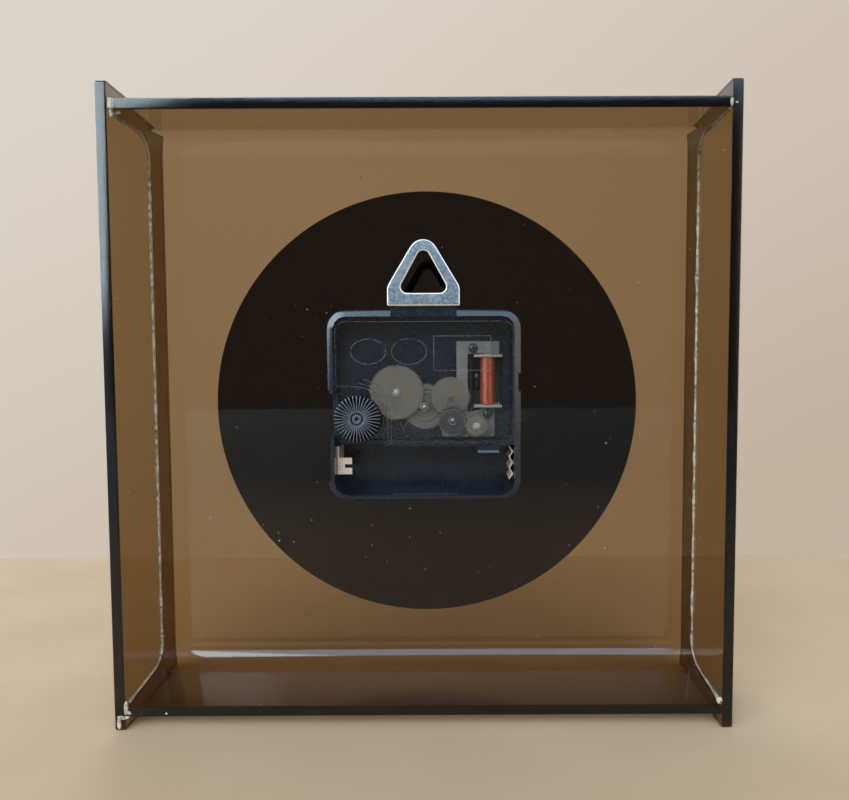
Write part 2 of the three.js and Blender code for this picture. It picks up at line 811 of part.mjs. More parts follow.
// Two pole limbs join round the rotor, and the coil's core bridges their far ends
function stator() {
  const low = rotorAt.z - rotorHole - poleRim;
  const outline = [
    [statorLeft, statorTopOuter],
    [statorLeft, statorTopInner],
    [limbRight - limbWidth, statorTopInner],
    [limbRight - limbWidth, statorLow - 1.5],
    [coilX + coreWidth / 2, statorLow],
    [coilX - coreWidth, statorLow],
    [coilX - coreWidth, low],
    [reductionAt.x + statorTail, low],
    [reductionAt.x + statorTail, reductionAt.z - 1],
    [limbRight, statorLow - 1.5],
    [limbRight, statorTopOuter],
  ];
  const ends = [secondsLevel - 1, secondsLevel + statorThickness + 1];
  const wheelRoom = secondsPair.module * (secondsPair.driven / 2 + wheelForm.addendum) + layerGap;
  return cut(
    slab(outline.reverse(), secondsLevel, secondsLevel + statorThickness),
    rod(origin, wheelRoom, ...ends, 2 * fineSides),
    rod(reductionAt, arborRadius + layerGap, ...ends),
    rod(rotorAt, rotorHole, ...ends, fineSides),
    ...corePosts.map((at) => bore(at, postRadius, seat / 2, ...ends)),
  );
}

function coilCore() {
  const half = coreWidth / 2;
  const [upper, lower] = corePosts;
  const bar = block(coilX - half, coilX + half, coreFront, coreRear, lower.z, upper.z);
  const lug = bandRound([[coilX, upper.z, lugRadius], [upper.x, upper.z, lugRadius]], middleSides);
  return cut(
    join(bar, slab(lug.reverse(), coreFront, coreRear), rod(lower, lugRadius, coreFront, coreRear)),
    ...corePosts.map((at) => bore(at, postRadius, seat / 2, coreFront - 1, coreRear + 1)),
  );
}

function coilBobbin() {
  const halfWidth = flangeWidth / 2;
  const halfDepth = flangeDepth / 2;
  const slotHalf = coreWidth / 2 + seat;
  const low = coilBottom;
  const high = coilBottom + coilLength;
  const flange = (bottom) => block(
    coilX - halfWidth, coilX + halfWidth, coilAxis - halfDepth, coilAxis + halfDepth,
    bottom, bottom + flangeThickness);
  return cut(
    join(flange(low - flangeThickness), coilCylinder(barrelRadius, low - bite, high + bite), flange(high)),
    block(coilX - slotHalf, coilX + slotHalf, coreFront - seat, coreRear + seat,
      low - 2 * flangeThickness, high + 2 * flangeThickness),
  );
}

function coilCylinder(radius, bottom, top) {
  const geometry = new THREE.CylinderGeometry(radius, radius, top - bottom, fineSides);
  geometry.rotateX(Math.PI / 2);
  geometry.translate(coilX, coilAxis, (bottom + top) / 2);
  return geometry;
}

// The turns are far finer than can be seen, so the winding is its smooth outer form
function coilWinding() {
  const low = coilBottom + cementFilm;
  const high = coilBottom + coilLength - cementFilm;
  return cut(
    coilCylinder(coilRadius, low, high),
    coilCylinder(barrelRadius + 2 * cementFilm, low - 1, high + 1),
  );
}

function rotorMagnet() {
  const front = plateTop + layerGap;
  return cut(
    rod(rotorAt, magnetRadius, front, front + magnetHeight, fineSides),
    bore(rotorAt, arborRadius, pressed, 0, movementDepth),
  );
}

// Electronics and battery contacts

const boardRear = frontWall + cementFilm + boardThickness;

function circuitBoard() {
  const left = boardRoom - chamberSide;
  const low = chamberBottom + boardRoom;
  const outline = roundedRectangle(left, -boardEdge, low, boardTop, chamberCorner, middleSides);
  return slab(outline, frontWall + cementFilm, boardRear);
}

// The driver is a blob of black resin over the chip
function driverChip() {
  const front = boardRear + cementFilm;
  return turned({ x: coilX + chipRadius, z: chamberTop / 4 + 1 }, [
    [0, front],
    [chipRadius, front],
    [chipRadius * 0.93, front + chipHeight * 0.4],
    [chipRadius * 0.63, front + chipHeight * 0.82],
    [0, front + chipHeight],
  ], middleSides);
}

// A small metal can lies on the board, and its two leads bend down to it
function quartzCrystal() {
  const x = coilX - 3.1;
  const low = chamberBottom + 2.9;
  const high = low + crystalLength;
  const axis = boardRear + cementFilm + crystalRadius;
  const can = new THREE.CylinderGeometry(crystalRadius, crystalRadius, crystalLength, middleSides);
  can.rotateX(Math.PI / 2);
  can.translate(x, axis, (low + high) / 2);
  const half = leadThickness / 2;
  const end = high + leadLength;
  const leads = [-leadPitch / 2, leadPitch / 2].map((side) => join(
    block(x + side - half, x + side + half, axis - half, axis + half, high - bite, end),
    block(x + side - half, x + side + half, boardRear + cementFilm, axis + half, end - leadThickness, end),
  ));
  return join(can, ...leads);
}

const contactTop = bayTop - contactRoom;
const leafMiddle = (bayBottom + bayTop) / 2 + 0.6;

// A strip on the end wall with a leaf folded out of it towards the cell
function contactNegative() {
  const wall = batteryLength / 2 - cementFilm;
  const leafAt = movementDepth - leafSink;
  const low = leafMiddle - leafWidth / 2;
  const strip = block(wall - contactSheet, wall, frontWall + 1, leafAt + contactSheet, low, contactTop);
  const leaf = block(wall - leafLength, wall - bite, leafAt, leafAt + contactSheet, low, low + leafWidth);
  const slotEnd = wall - leafLength / 2;
  const slot = block(slotEnd - leafLength, slotEnd, leafAt - 1, leafAt + 1,
    leafMiddle - leafSlot / 2, leafMiddle + leafSlot / 2);
  return cut(join(strip, leaf), slot);
}

// The other contact is a strip pressed into waves that face the battery's cap
function contactPositive() {
  const low = bayBottom + batteryCorner;
  const middle = cementFilm + waveDepth + contactSheet / 2 - batteryLength / 2;
  const steps = 8 * waves;
  const side = (offset) => Array.from({ length: steps + 1 }, (_, i) => [
    middle + offset + waveDepth * Math.cos(2 * Math.PI * waves * i / steps),
    low + (contactTop - low) * i / steps,
  ]);
  const outline = [...side(contactSheet / 2), ...side(-contactSheet / 2).reverse()];
  return slab(outline, frontWall + 1.2, movementDepth - wavesSink);
}

// Hanger: a pressed plate with a triangular eye and a foot folded forward into the socket
function hanger() {
  const half = hangerWidth / 2;
  const front = hangerRear - hangerThickness;
  const shoulderAt = hangerBase + hangerShoulder + hangerSkirt;
  const outline = bandRound([
    [hangerCorner - half, hangerBase + hangerCorner, hangerCorner],
    [half - hangerCorner, hangerBase + hangerCorner, hangerCorner],
    [half - hangerShoulder, shoulderAt, hangerShoulder],
    [0, hangerBase + hangerHeight - hangerApex, hangerApex],
    [hangerShoulder - half, shoulderAt, hangerShoulder],
  ]);
  const eyeHalf = half - hangerSide - eyeRadius;
  const eyeBase = hangerBase + hangerSill + eyeRadius;
  const eye = bandRound([
    [-eyeHalf, eyeBase, eyeRadius],
    [eyeHalf, eyeBase, eyeRadius],
    [0, hangerBase + hangerHeight - hangerRail - eyeRadius, eyeRadius],
  ]);
  const foot = block(
    -hangerFootWidth / 2, hangerFootWidth / 2, hangerRear - hangerFootDepth, hangerRear - seat,
    hangerBase, hangerBase + hangerThickness);
  return join(cut(slab(outline, front, hangerRear), slab(eye, front - 1, hangerRear + 1)), foot);
}

// Wheels and pinions

const rotorPhase = 0;
const reductionPhase = meshPhase(rotorPair, rotorPhase, rotorBearing + 180);
const intermediatePhase = meshPhase(reductionPair, 0, reductionBearing + 180);
const secondsPhase = meshPhase(secondsPair, 0, intermediateBearing + 180);
const thirdPhase = meshPhase(thirdPair, 0, thirdBearing);
const centrePhase = meshPhase(centrePair, 0, thirdBearing + 180);
const motionPhase = meshPhase(motionPair, 0, settingBearing);
const hourPhase = meshPhase(hourPair, 0, settingBearing + 180);
const settingPhase = meshPhase(settingPair, motionPhase, settingBearing);

function driver(centre, pair, level, thickness = wheelThickness, form = pinionForm) {
  return gear(centre, pair.driver, pair.module, 0, form, level, thickness);
}

function driven(centre, pair, phase, level) {
  return gear(centre, pair.driven, pair.module, phase, wheelForm, level);
}

function plainArbor(centre, radius = arborRadius, sides = middleSides) {
  return join(
    rod(centre, pivotRadius, plateLevel + bite, shoulderEnd + pivotLength, smallSides),
    rod(centre, radius, plateTop + bite, shoulderEnd, sides),
  );
}

function rotorGear() {
  return join(
    driver(rotorAt, rotorPair, rotorLevel, wheelThickness, wheelForm),
    plainArbor(rotorAt),
    rod(rotorAt, wheelBoss, rotorLevel, shoulderEnd),
  );
}

function reductionWheel() {
  const pinionLength = rotorLevel - upperLevel;
  return cut(
    join(
      driven(reductionAt, rotorPair, reductionPhase, rotorLevel),
      driver(reductionAt, reductionPair, upperLevel, pinionLength + wheelThickness / 2),
    ),
    bore(reductionAt, secondsRadius, pressed, 0, movementDepth, smallSides),
  );
}

function reductionArbor() {
  return plainArbor(reductionAt, secondsRadius, smallSides);
}

function intermediateWheel() {
  return join(
    driven(intermediateAt, reductionPair, intermediatePhase, upperLevel),
    driver(intermediateAt, secondsPair, secondsLevel, wheelSpacing + wheelThickness * 1.5),
    plainArbor(intermediateAt),
  );
}

function secondsWheel() {
  return cut(
    join(
      driven(origin, secondsPair, secondsPhase, secondsLevel),
      driver(origin, thirdPair, secondsLevel + bite, wheelSpacing + 2 * wheelThickness - bite),
    ),
    bore(origin, secondsRadius, pressed, 0, movementDepth, smallSides),
  );
}

function secondsArbor() {
  return rod(origin, secondsRadius, secondsArborEnd, shoulderEnd + pivotLength, smallSides);
}

function thirdWheel() {
  return join(
    driven(thirdAt, thirdPair, thirdPhase, upperLevel),
    driver(thirdAt, centrePair, centreLevel, wheelThickness + layerGap),
    rod(thirdAt, bearingRadius, centreLevel + wheelThickness + bite, plateTop + 2 * bite),
    rod(thirdAt, arborRadius, plateLevel, shoulderEnd),
    rod(thirdAt, wheelBoss, upperLevel, upperLevel + wheelThickness + layerGap),
    rod(thirdAt, pivotRadius, plateLevel, shoulderEnd + pivotLength, smallSides),
  );
}

function centreWheel() {
  return cut(
    driven(origin, centrePair, centrePhase, centreLevel),
    bore(origin, minuteRadius, running, 0, movementDepth),
  );
}

// The minute tube carries the pinion of the motion work and slips in the centre wheel
function cannonPinion() {
  const wheelRear = centreLevel + wheelThickness;
  const keeper = (plateLevel - wheelRear) / 2;
  return cut(
    join(
      rod(origin, minuteRadius, minuteTubeEnd, plateTop + layerGap),
      driver(origin, motionPair, motionLevel),
      rod(origin, keeperRadius, motionLevel + wheelThickness + bite, centreLevel - cementFilm),
      rod(origin, keeperRadius, wheelRear + cementFilm, wheelRear + keeper),
    ),
    bore(origin, secondsRadius, running, minuteTubeEnd - 1, plateTop + 1, smallSides),
  );
}

function motionWheel() {
  return cut(
    join(
      driven(motionAt, motionPair, motionPhase, motionLevel),
      driver(motionAt, hourPair, hourLevel, motionLevel - hourLevel + bite),
    ),
    bore(motionAt, studRadius, running, 0, movementDepth, smallSides),
  );
}

function hourWheel() {
  return cut(
    join(
      driven(origin, hourPair, hourPhase, hourLevel),
      rod(origin, hourRadius, hourTubeEnd, hourLevel + wheelThickness),
    ),
    bore(origin, minuteRadius, running, hourTubeEnd - 1, movementDepth),
  );
}

function settingShaft() {
  return join(
    driven(settingAt, settingPair, settingPhase, motionLevel),
    rod(settingAt, pivotRadius, frontWall - pivotSocket + bite, motionLevel + bite, smallSides),
    rod(settingAt, shaftRadius, frontWall + 2 * bite, knobRear - knobCap - seat),
  );
}

// Thin upright ribs fan out from the hub, on a round base
function ribbedOutline() {
  const step = 2 * Math.PI / knobRibs;
  const tip = knobRadius * Math.cos(Math.PI / fineSides) - cementFilm;
  const points = [];
  for (let i = 0; i < knobRibs; i += 1) {
    for (const [radius, share] of [[knobHub, -0.3], [tip, -0.22], [tip, 0.22], [knobHub, 0.3]]) {
      const angle = (i + share) * step;
      points.push([radius * Math.cos(angle), radius * Math.sin(angle)]);
    }
  }
  return points;
}

function settingKnob() {
  const ribs = slab(ribbedOutline(), knobFront + knobBase / 2, knobRear);
  ribs.translate(settingAt.x, 0, settingAt.z);
  return cut(
    join(ribs, rod(settingAt, knobRadius, knobFront, knobFront + knobBase, fineSides)),
    bore(settingAt, shaftRadius, pressed, knobFront - 1, knobRear - knobCap),
    rod(settingAt, knobHub - knobDishWall, knobRear - knobDish, knobRear + 1),
    rod(settingAt, knobEye, knobRear - knobDish - knobEyeDepth, knobRear, smallSides),
  );
}

// Materials

function material(color, roughness, metalness = 0, opacity = 1) {
  return new THREE.MeshStandardMaterial({
    color, roughness, metalness, opacity, transparent: opacity < 1, side: THREE.FrontSide,
  });
}

const smoked = () => material(0x5c4328, 0.06, 0, 0.55);
const blackPlastic = () => material(0x151a22, 0.4);
const nylon = () => material(0xc9bfb0, 0.45);
const steel = () => material(0xb8bec4, 0.3, 1);
const nickel = () => material(0xe2d6c4, 0.28, 1);
const gilt = () => material(0xc9b27a, 0.3, 1);

const clock = new THREE.Group();
const movement = new THREE.Group();
movement.position.set(dialShift, sheetInner + rubberThickness, arborHeight);
clock.add(movement);

function place(group, name, solid, look) {
  const geometry = solid.isBufferGeometry ? solid : toGeometry(solid);
  const mesh = new THREE.Mesh(geometry, look);
  mesh.name = name;
  group.add(mesh);
}

place(clock, 'case_wrap', caseWrap(), smoked());
place(clock, 'side_panel_left', sidePanel(-1), smoked());
place(clock, 'side_panel_right', sidePanel(1), smoked());
place(clock, 'cement_seam_left', cementSeam(-1), material(0xa8a294, 0.6));
place(clock, 'cement_seam_right', cementSeam(1), material(0xa8a294, 0.6));

place(movement, 'dial_disc', dialDisc(), material(0x0b0a0a, 0.08));
for (let hour = 1; hour <= hours; hour += 1) {
  place(movement, `hour_marker_${hour}`, hourMarker(hour), gilt());
}
place(movement, 'rubber_washer', rubberWasher(), material(0x1b1b1b, 0.8));
place(movement, 'dial_washer', dialWasher(), gilt());
place(movement, 'fixing_nut', fixingNut(), gilt());
place(movement, 'movement_housing', movementHousing(), blackPlastic());
place(movement, 'train_plate', trainPlate(), blackPlastic());
place(movement, 'movement_cover', movementCover(), material(0xdfe6ea, 0.05, 0, 0.3));
place(movement, 'hanger', hanger(), material(0xa3abb0, 0.35, 1));
place(movement, 'contact_negative', contactNegative(), nickel());
place(movement, 'contact_positive', contactPositive(), nickel());
place(movement, 'circuit_board', circuitBoard(), material(0x2c5a3a, 0.5));
place(movement, 'driver_chip', driverChip(), material(0x101010, 0.35));
place(movement, 'quartz_crystal', quartzCrystal(), steel());
place(movement, 'stator', stator(), material(0xa9a8a2, 0.35, 1));
place(movement, 'coil_core', coilCore(), material(0x9a9a96, 0.35, 1));
place(movement, 'coil_bobbin', coilBobbin(), material(0xd9d2c4, 0.5));
place(movement, 'coil_winding', coilWinding(), material(0xb5532f, 0.35, 0.4));

place(movement, 'rotor_gear', rotorGear(), nylon());
place(movement, 'rotor_magnet', rotorMagnet(), material(0x3a3a3c, 0.4, 0.8));
place(movement, 'reduction_wheel', reductionWheel(), blackPlastic());
place(movement, 'reduction_arbor', reductionArbor(), steel());
place(movement, 'intermediate_wheel', intermediateWheel(), nylon());
place(movement, 'seconds_wheel', secondsWheel(), nylon());
place(movement, 'seconds_arbor', secondsArbor(), steel());
place(movement, 'third_wheel', thirdWheel(), nylon());
place(movement, 'centre_wheel', centreWheel(), blackPlastic());
place(movement, 'cannon_pinion', cannonPinion(), gilt());
place(movement, 'motion_wheel', motionWheel(), nylon());
place(movement, 'hour_wheel', hourWheel(), nylon());
place(movement, 'setting_shaft', settingShaft(), nylon());
place(movement, 'setting_knob', settingKnob(), blackPlastic());
place(movement, 'hour_hand', hourHand(), gilt());
place(movement, 'minute_hand', minuteHand(), gilt());
place(movement, 'second_hand', secondHand(), gilt());

export default clock;
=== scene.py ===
import math
import random
from functools import partial

import bmesh
import bpy
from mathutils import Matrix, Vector, noise


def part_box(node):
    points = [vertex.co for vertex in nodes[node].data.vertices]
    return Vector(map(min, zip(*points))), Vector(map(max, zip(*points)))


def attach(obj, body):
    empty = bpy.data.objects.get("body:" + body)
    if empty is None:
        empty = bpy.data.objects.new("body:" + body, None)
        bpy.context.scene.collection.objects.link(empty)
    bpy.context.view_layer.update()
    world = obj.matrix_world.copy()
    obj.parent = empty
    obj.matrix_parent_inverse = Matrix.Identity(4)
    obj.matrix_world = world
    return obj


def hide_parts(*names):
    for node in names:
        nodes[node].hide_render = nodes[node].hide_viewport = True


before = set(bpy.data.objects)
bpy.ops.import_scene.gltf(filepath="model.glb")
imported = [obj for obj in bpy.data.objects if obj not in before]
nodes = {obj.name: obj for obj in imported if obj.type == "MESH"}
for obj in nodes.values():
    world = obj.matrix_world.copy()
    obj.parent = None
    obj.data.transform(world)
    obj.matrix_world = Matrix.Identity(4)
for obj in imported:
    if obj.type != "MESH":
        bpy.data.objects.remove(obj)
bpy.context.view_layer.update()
print("frame loaded:", len(nodes), "nodes")

mm = 0.001
toY = (math.pi / 2, 0, 0)  # turns a primitive's axis from Z to Y
weld = 1e-6  # metres within which two corners are one
least = 0.02  # radius in mm that stands for a point on the axis


# Modelling helpers

def applyPlace():
    bpy.ops.object.transform_apply(location=True, rotation=True, scale=True)


def editAll():
    bpy.ops.object.mode_set(mode="EDIT")
    bpy.ops.mesh.select_all(action="SELECT")


def leaveEdit():
    bpy.ops.object.mode_set(mode="OBJECT")


# A CAD node's low and high corner in mm
def boxOf(node):
    return [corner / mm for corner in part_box(node)]


def clearSelection():
    if bpy.context.mode != "OBJECT":
        leaveEdit()
    bpy.ops.object.select_all(action="DESELECT")


def focus(piece):
    clearSelection()
    piece.select_set(True)
    bpy.context.view_layer.objects.active = piece


def named(name):
    piece = bpy.context.object
    piece.name = piece.data.name = name
    return piece


# kind is VERT, EDGE or FACE. The test gets a point, both ends of an edge, or a face's middle
def pick(piece, kind, test):
    focus(piece)
    bpy.ops.object.mode_set(mode="EDIT")
    bpy.ops.mesh.select_mode(type=kind)
    bpy.ops.mesh.select_all(action="DESELECT")
    mesh = bmesh.from_edit_mesh(piece.data)
    if kind == "VERT":
        for vert in mesh.verts:
            vert.select = bool(test(vert.co))
    elif kind == "EDGE":
        for edge in mesh.edges:
            edge.select = bool(test(edge.verts[0].co, edge.verts[1].co))
    else:
        for face in mesh.faces:
            face.select = bool(test(face.calc_center_median()))
    mesh.select_flush_mode()
    bmesh.update_edit_mesh(piece.data)


def modify(piece, kind, **settings):
    focus(piece)
    modifier = piece.modifiers.new(kind.title(), kind)
    for key, value in settings.items():
        setattr(modifier, key, value)
    bpy.ops.object.modifier_apply(modifier=modifier.name)


def soften(piece, width, segments=2, angle=35, clamp=True):
    modify(piece, "BEVEL", width=width * mm, segments=segments, limit_method="ANGLE",
           angle_limit=math.radians(angle), use_clamp_overlap=clamp)


def subtract(piece, cutter):
    modify(piece, "BOOLEAN", operation="DIFFERENCE", object=cutter, solver="EXACT")
    bpy.data.objects.remove(cutter)


def merged(name, parts):
    clearSelection()
    for part in parts:
        part.select_set(True)
    bpy.context.view_layer.objects.active = parts[0]
    if len(parts) > 1:
        bpy.ops.object.join()
    return named(name)


def outward(piece):
    focus(piece)
    editAll()
    bpy.ops.mesh.remove_doubles(threshold=weld)
    bpy.ops.mesh.normals_make_consistent(inside=False)
    leaveEdit()


# Puts the place in the mesh, keeps big flat faces flat in their shading, and hands the piece to its body.
# finish is a name in finishes, further down
def finished(piece, body, finish, stands=(), smooth=40):
    focus(piece)
    applyPlace()
    bpy.ops.object.shade_smooth_by_angle(angle=math.radians(smooth))
    modify(piece, "WEIGHTED_NORMAL", mode="FACE_AREA", weight=80, keep_sharp=True)
    piece.data.materials.clear()
    piece.data.materials.append(finishes[finish])
    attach(piece, body)
    if stands:
        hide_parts(*stands)
    return piece


def block(name, low, high):
    clearSelection()
    size = [(b - a) * mm for a, b in zip(low, high)]
    middle = [(a + b) / 2 * mm for a, b in zip(low, high)]
    bpy.ops.mesh.primitive_cube_add(size=1, location=middle, scale=size)
    piece = named(name)
    applyPlace()
    return piece


# profile is [radius, distance along the axis] in mm. The axis is Y through centre (x, z), or Z through (x, y)
def turned(name, centre, profile, sides=64, upright=False):
    clearSelection()
    first = profile[0]
    place = (centre[0], centre[1], first[1]) if upright else (centre[0], first[1], centre[1])
    bpy.ops.mesh.primitive_circle_add(
        vertices=sides, radius=max(first[0], least) * mm, fill_type="NOTHING",
        location=[v * mm for v in place], rotation=(0, 0, 0) if upright else toY)
    piece = named(name)
    applyPlace()
    editAll()
    if first[0] <= least:
        bpy.ops.mesh.edge_face_add()
        bpy.ops.mesh.select_all(action="SELECT")
    centreAt = [v * mm for v in place]
    last = first
    for radius, along in profile[1:]:
        step = (along - last[1]) * mm
        grow = max(radius, least) / max(last[0], least)
        bpy.ops.mesh.extrude_edges_move(
            TRANSFORM_OT_translate={"value": (0, 0, step) if upright else (0, step, 0)})
        bpy.ops.transform.resize(
            value=(grow, grow, 1) if upright else (grow, 1, grow), center_override=centreAt)
        last = (radius, along)
    if last[0] <= least:
        bpy.ops.mesh.edge_face_add()
    leaveEdit()
    outward(piece)
    return piece


def rod(name, centre, radius, front, rear, sides=48):
    return turned(name, centre, [(0, front), (radius, front), (radius, rear), (0, rear)], sides)


def ring(name, centre, outer, inner, front, rear, sides=96):
    profile = [(inner, front), (outer, front), (outer, rear), (inner, rear), (inner, front)]
    return turned(name, centre, profile, sides)


# corners are (x, z) in mm, in order round the outline
def plate(name, corners, front, rear):
    clearSelection()
    bpy.ops.mesh.primitive_circle_add(vertices=len(corners), radius=1, fill_type="NGON", rotation=toY)
    piece = named(name)
    applyPlace()
    for vert, (x, z) in zip(piece.data.vertices, corners):
        vert.co = (x * mm, front * mm, z * mm)
    editAll()
    bpy.ops.mesh.extrude_region_move(TRANSFORM_OT_translate={"value": (0, (rear - front) * mm, 0)})
    leaveEdit()
    outward(piece)
    return piece


# A line of even width through the points
def stroke(name, points, width, front, rear):
    sides = ([], [])
    for i, point in enumerate(points):
        along = Vector(points[min(i + 1, len(points) - 1)]) - Vector(points[max(i - 1, 0)])
        across = Vector((-along.y, along.x)).normalized() * width / 2
        sides[0].append(tuple(Vector(point) + across))
        sides[1].append(tuple(Vector(point) - across))
    return plate(name, sides[0] + sides[1][::-1], front, rear)


def box(left, right, bottom, top):
    return [(left, bottom), (right, bottom), (right, top), (left, top)]


# The CAD node's own shape, merged into clean faces, with its edges rounded by bevel mm
def copyOf(node, name, bevel=0, segments=2, angle=35, flat=0.6):
    clearSelection()
    piece = bpy.data.objects.new(name, nodes[node].data.copy())
    bpy.context.scene.collection.objects.link(piece)
    focus(piece)
    named(name)
    bpy.ops.mesh.customdata_custom_splitnormals_clear()
    editAll()
    bpy.ops.mesh.remove_doubles(threshold=2 * weld)
    bpy.ops.mesh.dissolve_limited(angle_limit=math.radians(flat))
    leaveEdit()
    if bevel:
        soften(piece, bevel, segments, angle)
    return piece


# An uneven drop: a ball pushed about by noise, with so many lumps across it
def drop(name, place, size, seed, detail=3, swell=0.35, lumps=1.4):
    clearSelection()
    bpy.ops.mesh.primitive_ico_sphere_add(
        subdivisions=detail, radius=1, location=[v * mm for v in place], scale=[v * mm for v in size])
    piece = named(name)
    applyPlace()
    centre = Vector(place) * mm
    for vert in piece.data.vertices:
        at = (vert.co - centre) / (max(size) * mm) * lumps + Vector((seed, 0, 0))
        vert.co = centre + (vert.co - centre) * (1 + swell * noise.noise(at))
    return piece


# Material helpers

def linear(hexColour):
    values = [int(hexColour[i:i + 2], 16) / 255 for i in (1, 3, 5)]
    return [v / 12.92 if v <= 0.04045 else ((v + 0.055) / 1.055) ** 2.4 for v in values] + [1]


# The Scale of a pattern whose features are about size mm across
def across(size):
    return 1 / (size * mm)


# Fills a node's open inputs, in order or by name. An entry is a value, a hex colour, an output,
# or a node, which stands for its first open output
def fill(node, entries):
    sockets = [socket for socket in node.inputs if socket.enabled]
    for key, entry in entries.items() if isinstance(entries, dict) else enumerate(entries):
        socket = sockets[key] if isinstance(key, int) else node.inputs[key]
        if isinstance(entry, bpy.types.Node):
            entry = [output for output in entry.outputs if output.enabled][0]
        if isinstance(entry, bpy.types.NodeSocket):
            node.id_data.links.new(entry, socket)
        else:
            socket.default_value = linear(entry) if isinstance(entry, str) else entry


def addNode(tree, kind, entries=(), **settings):
    node = tree.nodes.new("ShaderNode" + kind)
    for key, value in settings.items():
        setattr(node, key, value)
    fill(node, entries)
    return node


# A Principled surface with its plain values, and what its pattern needs
def newMaterial(name, **values):
    material = bpy.data.materials.new(name)
    material.use_nodes = True
    shader = material.node_tree.nodes["Principled BSDF"]
    fill(shader, {key.replace("_", " "): value for key, value in values.items()})
    add = partial(addNode, material.node_tree)
    return material, add, shader, add("TexCoord").outputs["Object"]


# Clear plastic lights what is behind it, so lamp and bounce rays pass straight on, and so do
# those that shiny things under it send out. Each face that they cross dims them by tint
def letLampsThrough(material, tint=(1, 1, 1, 1), mirrored=False):
    nodes = material.node_tree.nodes
    add = partial(addNode, material.node_tree)
    path = add("LightPath").outputs
    passes = add("Math", [path["Is Shadow Ray"], path["Is Diffuse Ray"]], operation="MAXIMUM")
    if mirrored:
        passes = add("Math", [passes, path["Is Glossy Ray"]], operation="MAXIMUM")
    mix = add("MixShader", [passes, nodes["Principled BSDF"], add("BsdfTransparent", [tint])])
    fill(nodes["Material Output"], {"Surface": mix})


# Camera: a short lens close to the open back, a little to the right of the middle and above it

camera = {
    "place": (-9.07, 193.37, 103.44),
    "turn": (87.073, 0.247, 179.951),
    "lens": 26.82,
    "sensor": 36,
    "shift": -0.0354,
    "nearest": 10,
}


def addCamera(values):
    clearSelection()
    bpy.ops.object.camera_add(location=[v * mm for v in values["place"]],
                              rotation=[math.radians(v) for v in values["turn"]])
    seen = bpy.context.object
    seen.data.sensor_width = values["sensor"]
    seen.data.lens = values["lens"]
    seen.data.shift_x = values["shift"]
    seen.data.clip_start = values["nearest"] * mm
    bpy.context.scene.camera = seen


addCamera(camera)
print("camera placed")

# Room: a pale card wall far behind and a beige table top. Glossy faces mirror the room behind the camera.
# Tuples of four are light strengths and not surface colours, so some are over 1. A patch of that room
# fades in between two angles, in degrees, at each of its edges. Later patches cover earlier ones

room = {
    "wallHigh": "#DDD6CE",
    "wallLow": "#C3B29E",
    # Painted light: the wall is painted lighter where more light falls on it
    "wallLightLean": (0.5, 0.8),  # its tone rises to the left and upwards
    "wallFade": (-0.35, 0.6),
    "right": (2.5, 2.0, 1.45, 1),
    "patches": [
        ((0.6, 0.65, 0.68, 1), [("bearing", -5, 5)]),  # wall on the left
        ((0.15, 0.15, 0.145, 1), [("wide", 31, 25)]),  # dim middle
        ((2.1, 3.0, 4.1, 1), [("height", 20.5, 23), ("height", 55, 49)]),  # window above
        ((7.2, 8.7, 9.5, 1), [("aslant", 28, 30.5), ("bearing", 70, 62), ("height", 2.5, 7),
                              ("height", 55, 49)]),  # brighter window on the left
        ((0.2, 0.19, 0.18, 1), [("height", 50, 56)]),  # ceiling
    ],
    "front": (0.6, 0.52, 0.44, 1),
    "frontPatches": [((0.74, 0.9, 1.05, 1), [("height", 16, 21)])],
    "frontFrom": [("wide", 84, 100)],
    "slope": 0.25,
    "table": ("#BEAA91", "#C3B098"),
    # Painted shade: in reflections the table darkens to this tone away from the clock, for the shadow under
    # the camera
    "tableShade": "#6A6762",
    "tableEdge": -149,
    "tableReach": 1400,
    "tableShadeFade": (0.06, 0.4),  # metres behind the clock over which its reflection dims
    "level": 0.5,
    "tint": (1, 0.94, 0.86, 1),
}


def addRoom(values):
    world = bpy.data.worlds.new("room")
    bpy.context.scene.world = world
    world.use_nodes = True
    add = partial(addNode, world.node_tree)
    path = add("LightPath").outputs
    seen = add("Math", [path["Is Camera Ray"], path["Is Transmission Ray"]], operation="MAXIMUM")
    x, y, z = add("SeparateXYZ", [add("TexCoord").outputs["Generated"]]).outputs
    # Painted light: the wall's tone rises to the left and upwards, where more light falls on it
    aside, upward = [add("Math", [way, share], operation="MULTIPLY")
                     for way, share in zip((x, z), values["wallLightLean"])]
    rise = add("MapRange", [add("Math", [aside, upward]), *values["wallFade"], 0, 1])
    wall = add("Background", [add("Mix", [rise, values["wallLow"], values["wallHigh"]], data_type="RGBA")])

    bearing = add("Math", [x, y], operation="ARCTAN2")
    height = add("Math", [z], operation="ARCSINE")
    drift = add("Math", [height, values["slope"]], operation="MULTIPLY")
    angles = {"bearing": bearing, "height": height, "wide": add("Math", [bearing], operation="ABSOLUTE"),
              "aslant": add("Math", [bearing, drift])}

    def painted(tone, patches):
        for patch, edges in patches:
            share = 1
            for angle, first, last in edges:
                edge = add("MapRange", [angles[angle], math.radians(first), math.radians(last), 0, 1])
                share = add("Math", [share, edge], operation="MULTIPLY")
            tone = add("Mix", [share, tone, patch], data_type="RGBA")
        return tone

    behind = painted(values["right"], values["patches"])
    front = painted(values["front"], values["frontPatches"])
    mirror = add("Background", [painted(behind, [(front, values["frontFrom"])])])
    light = add("Background", [values["tint"], values["level"]])
    shiny = add("MixShader", [path["Is Glossy Ray"], light, mirror])
    fill(world.node_tree.nodes["World Output"], {"Surface": add("MixShader", [seen, shiny, wall])})


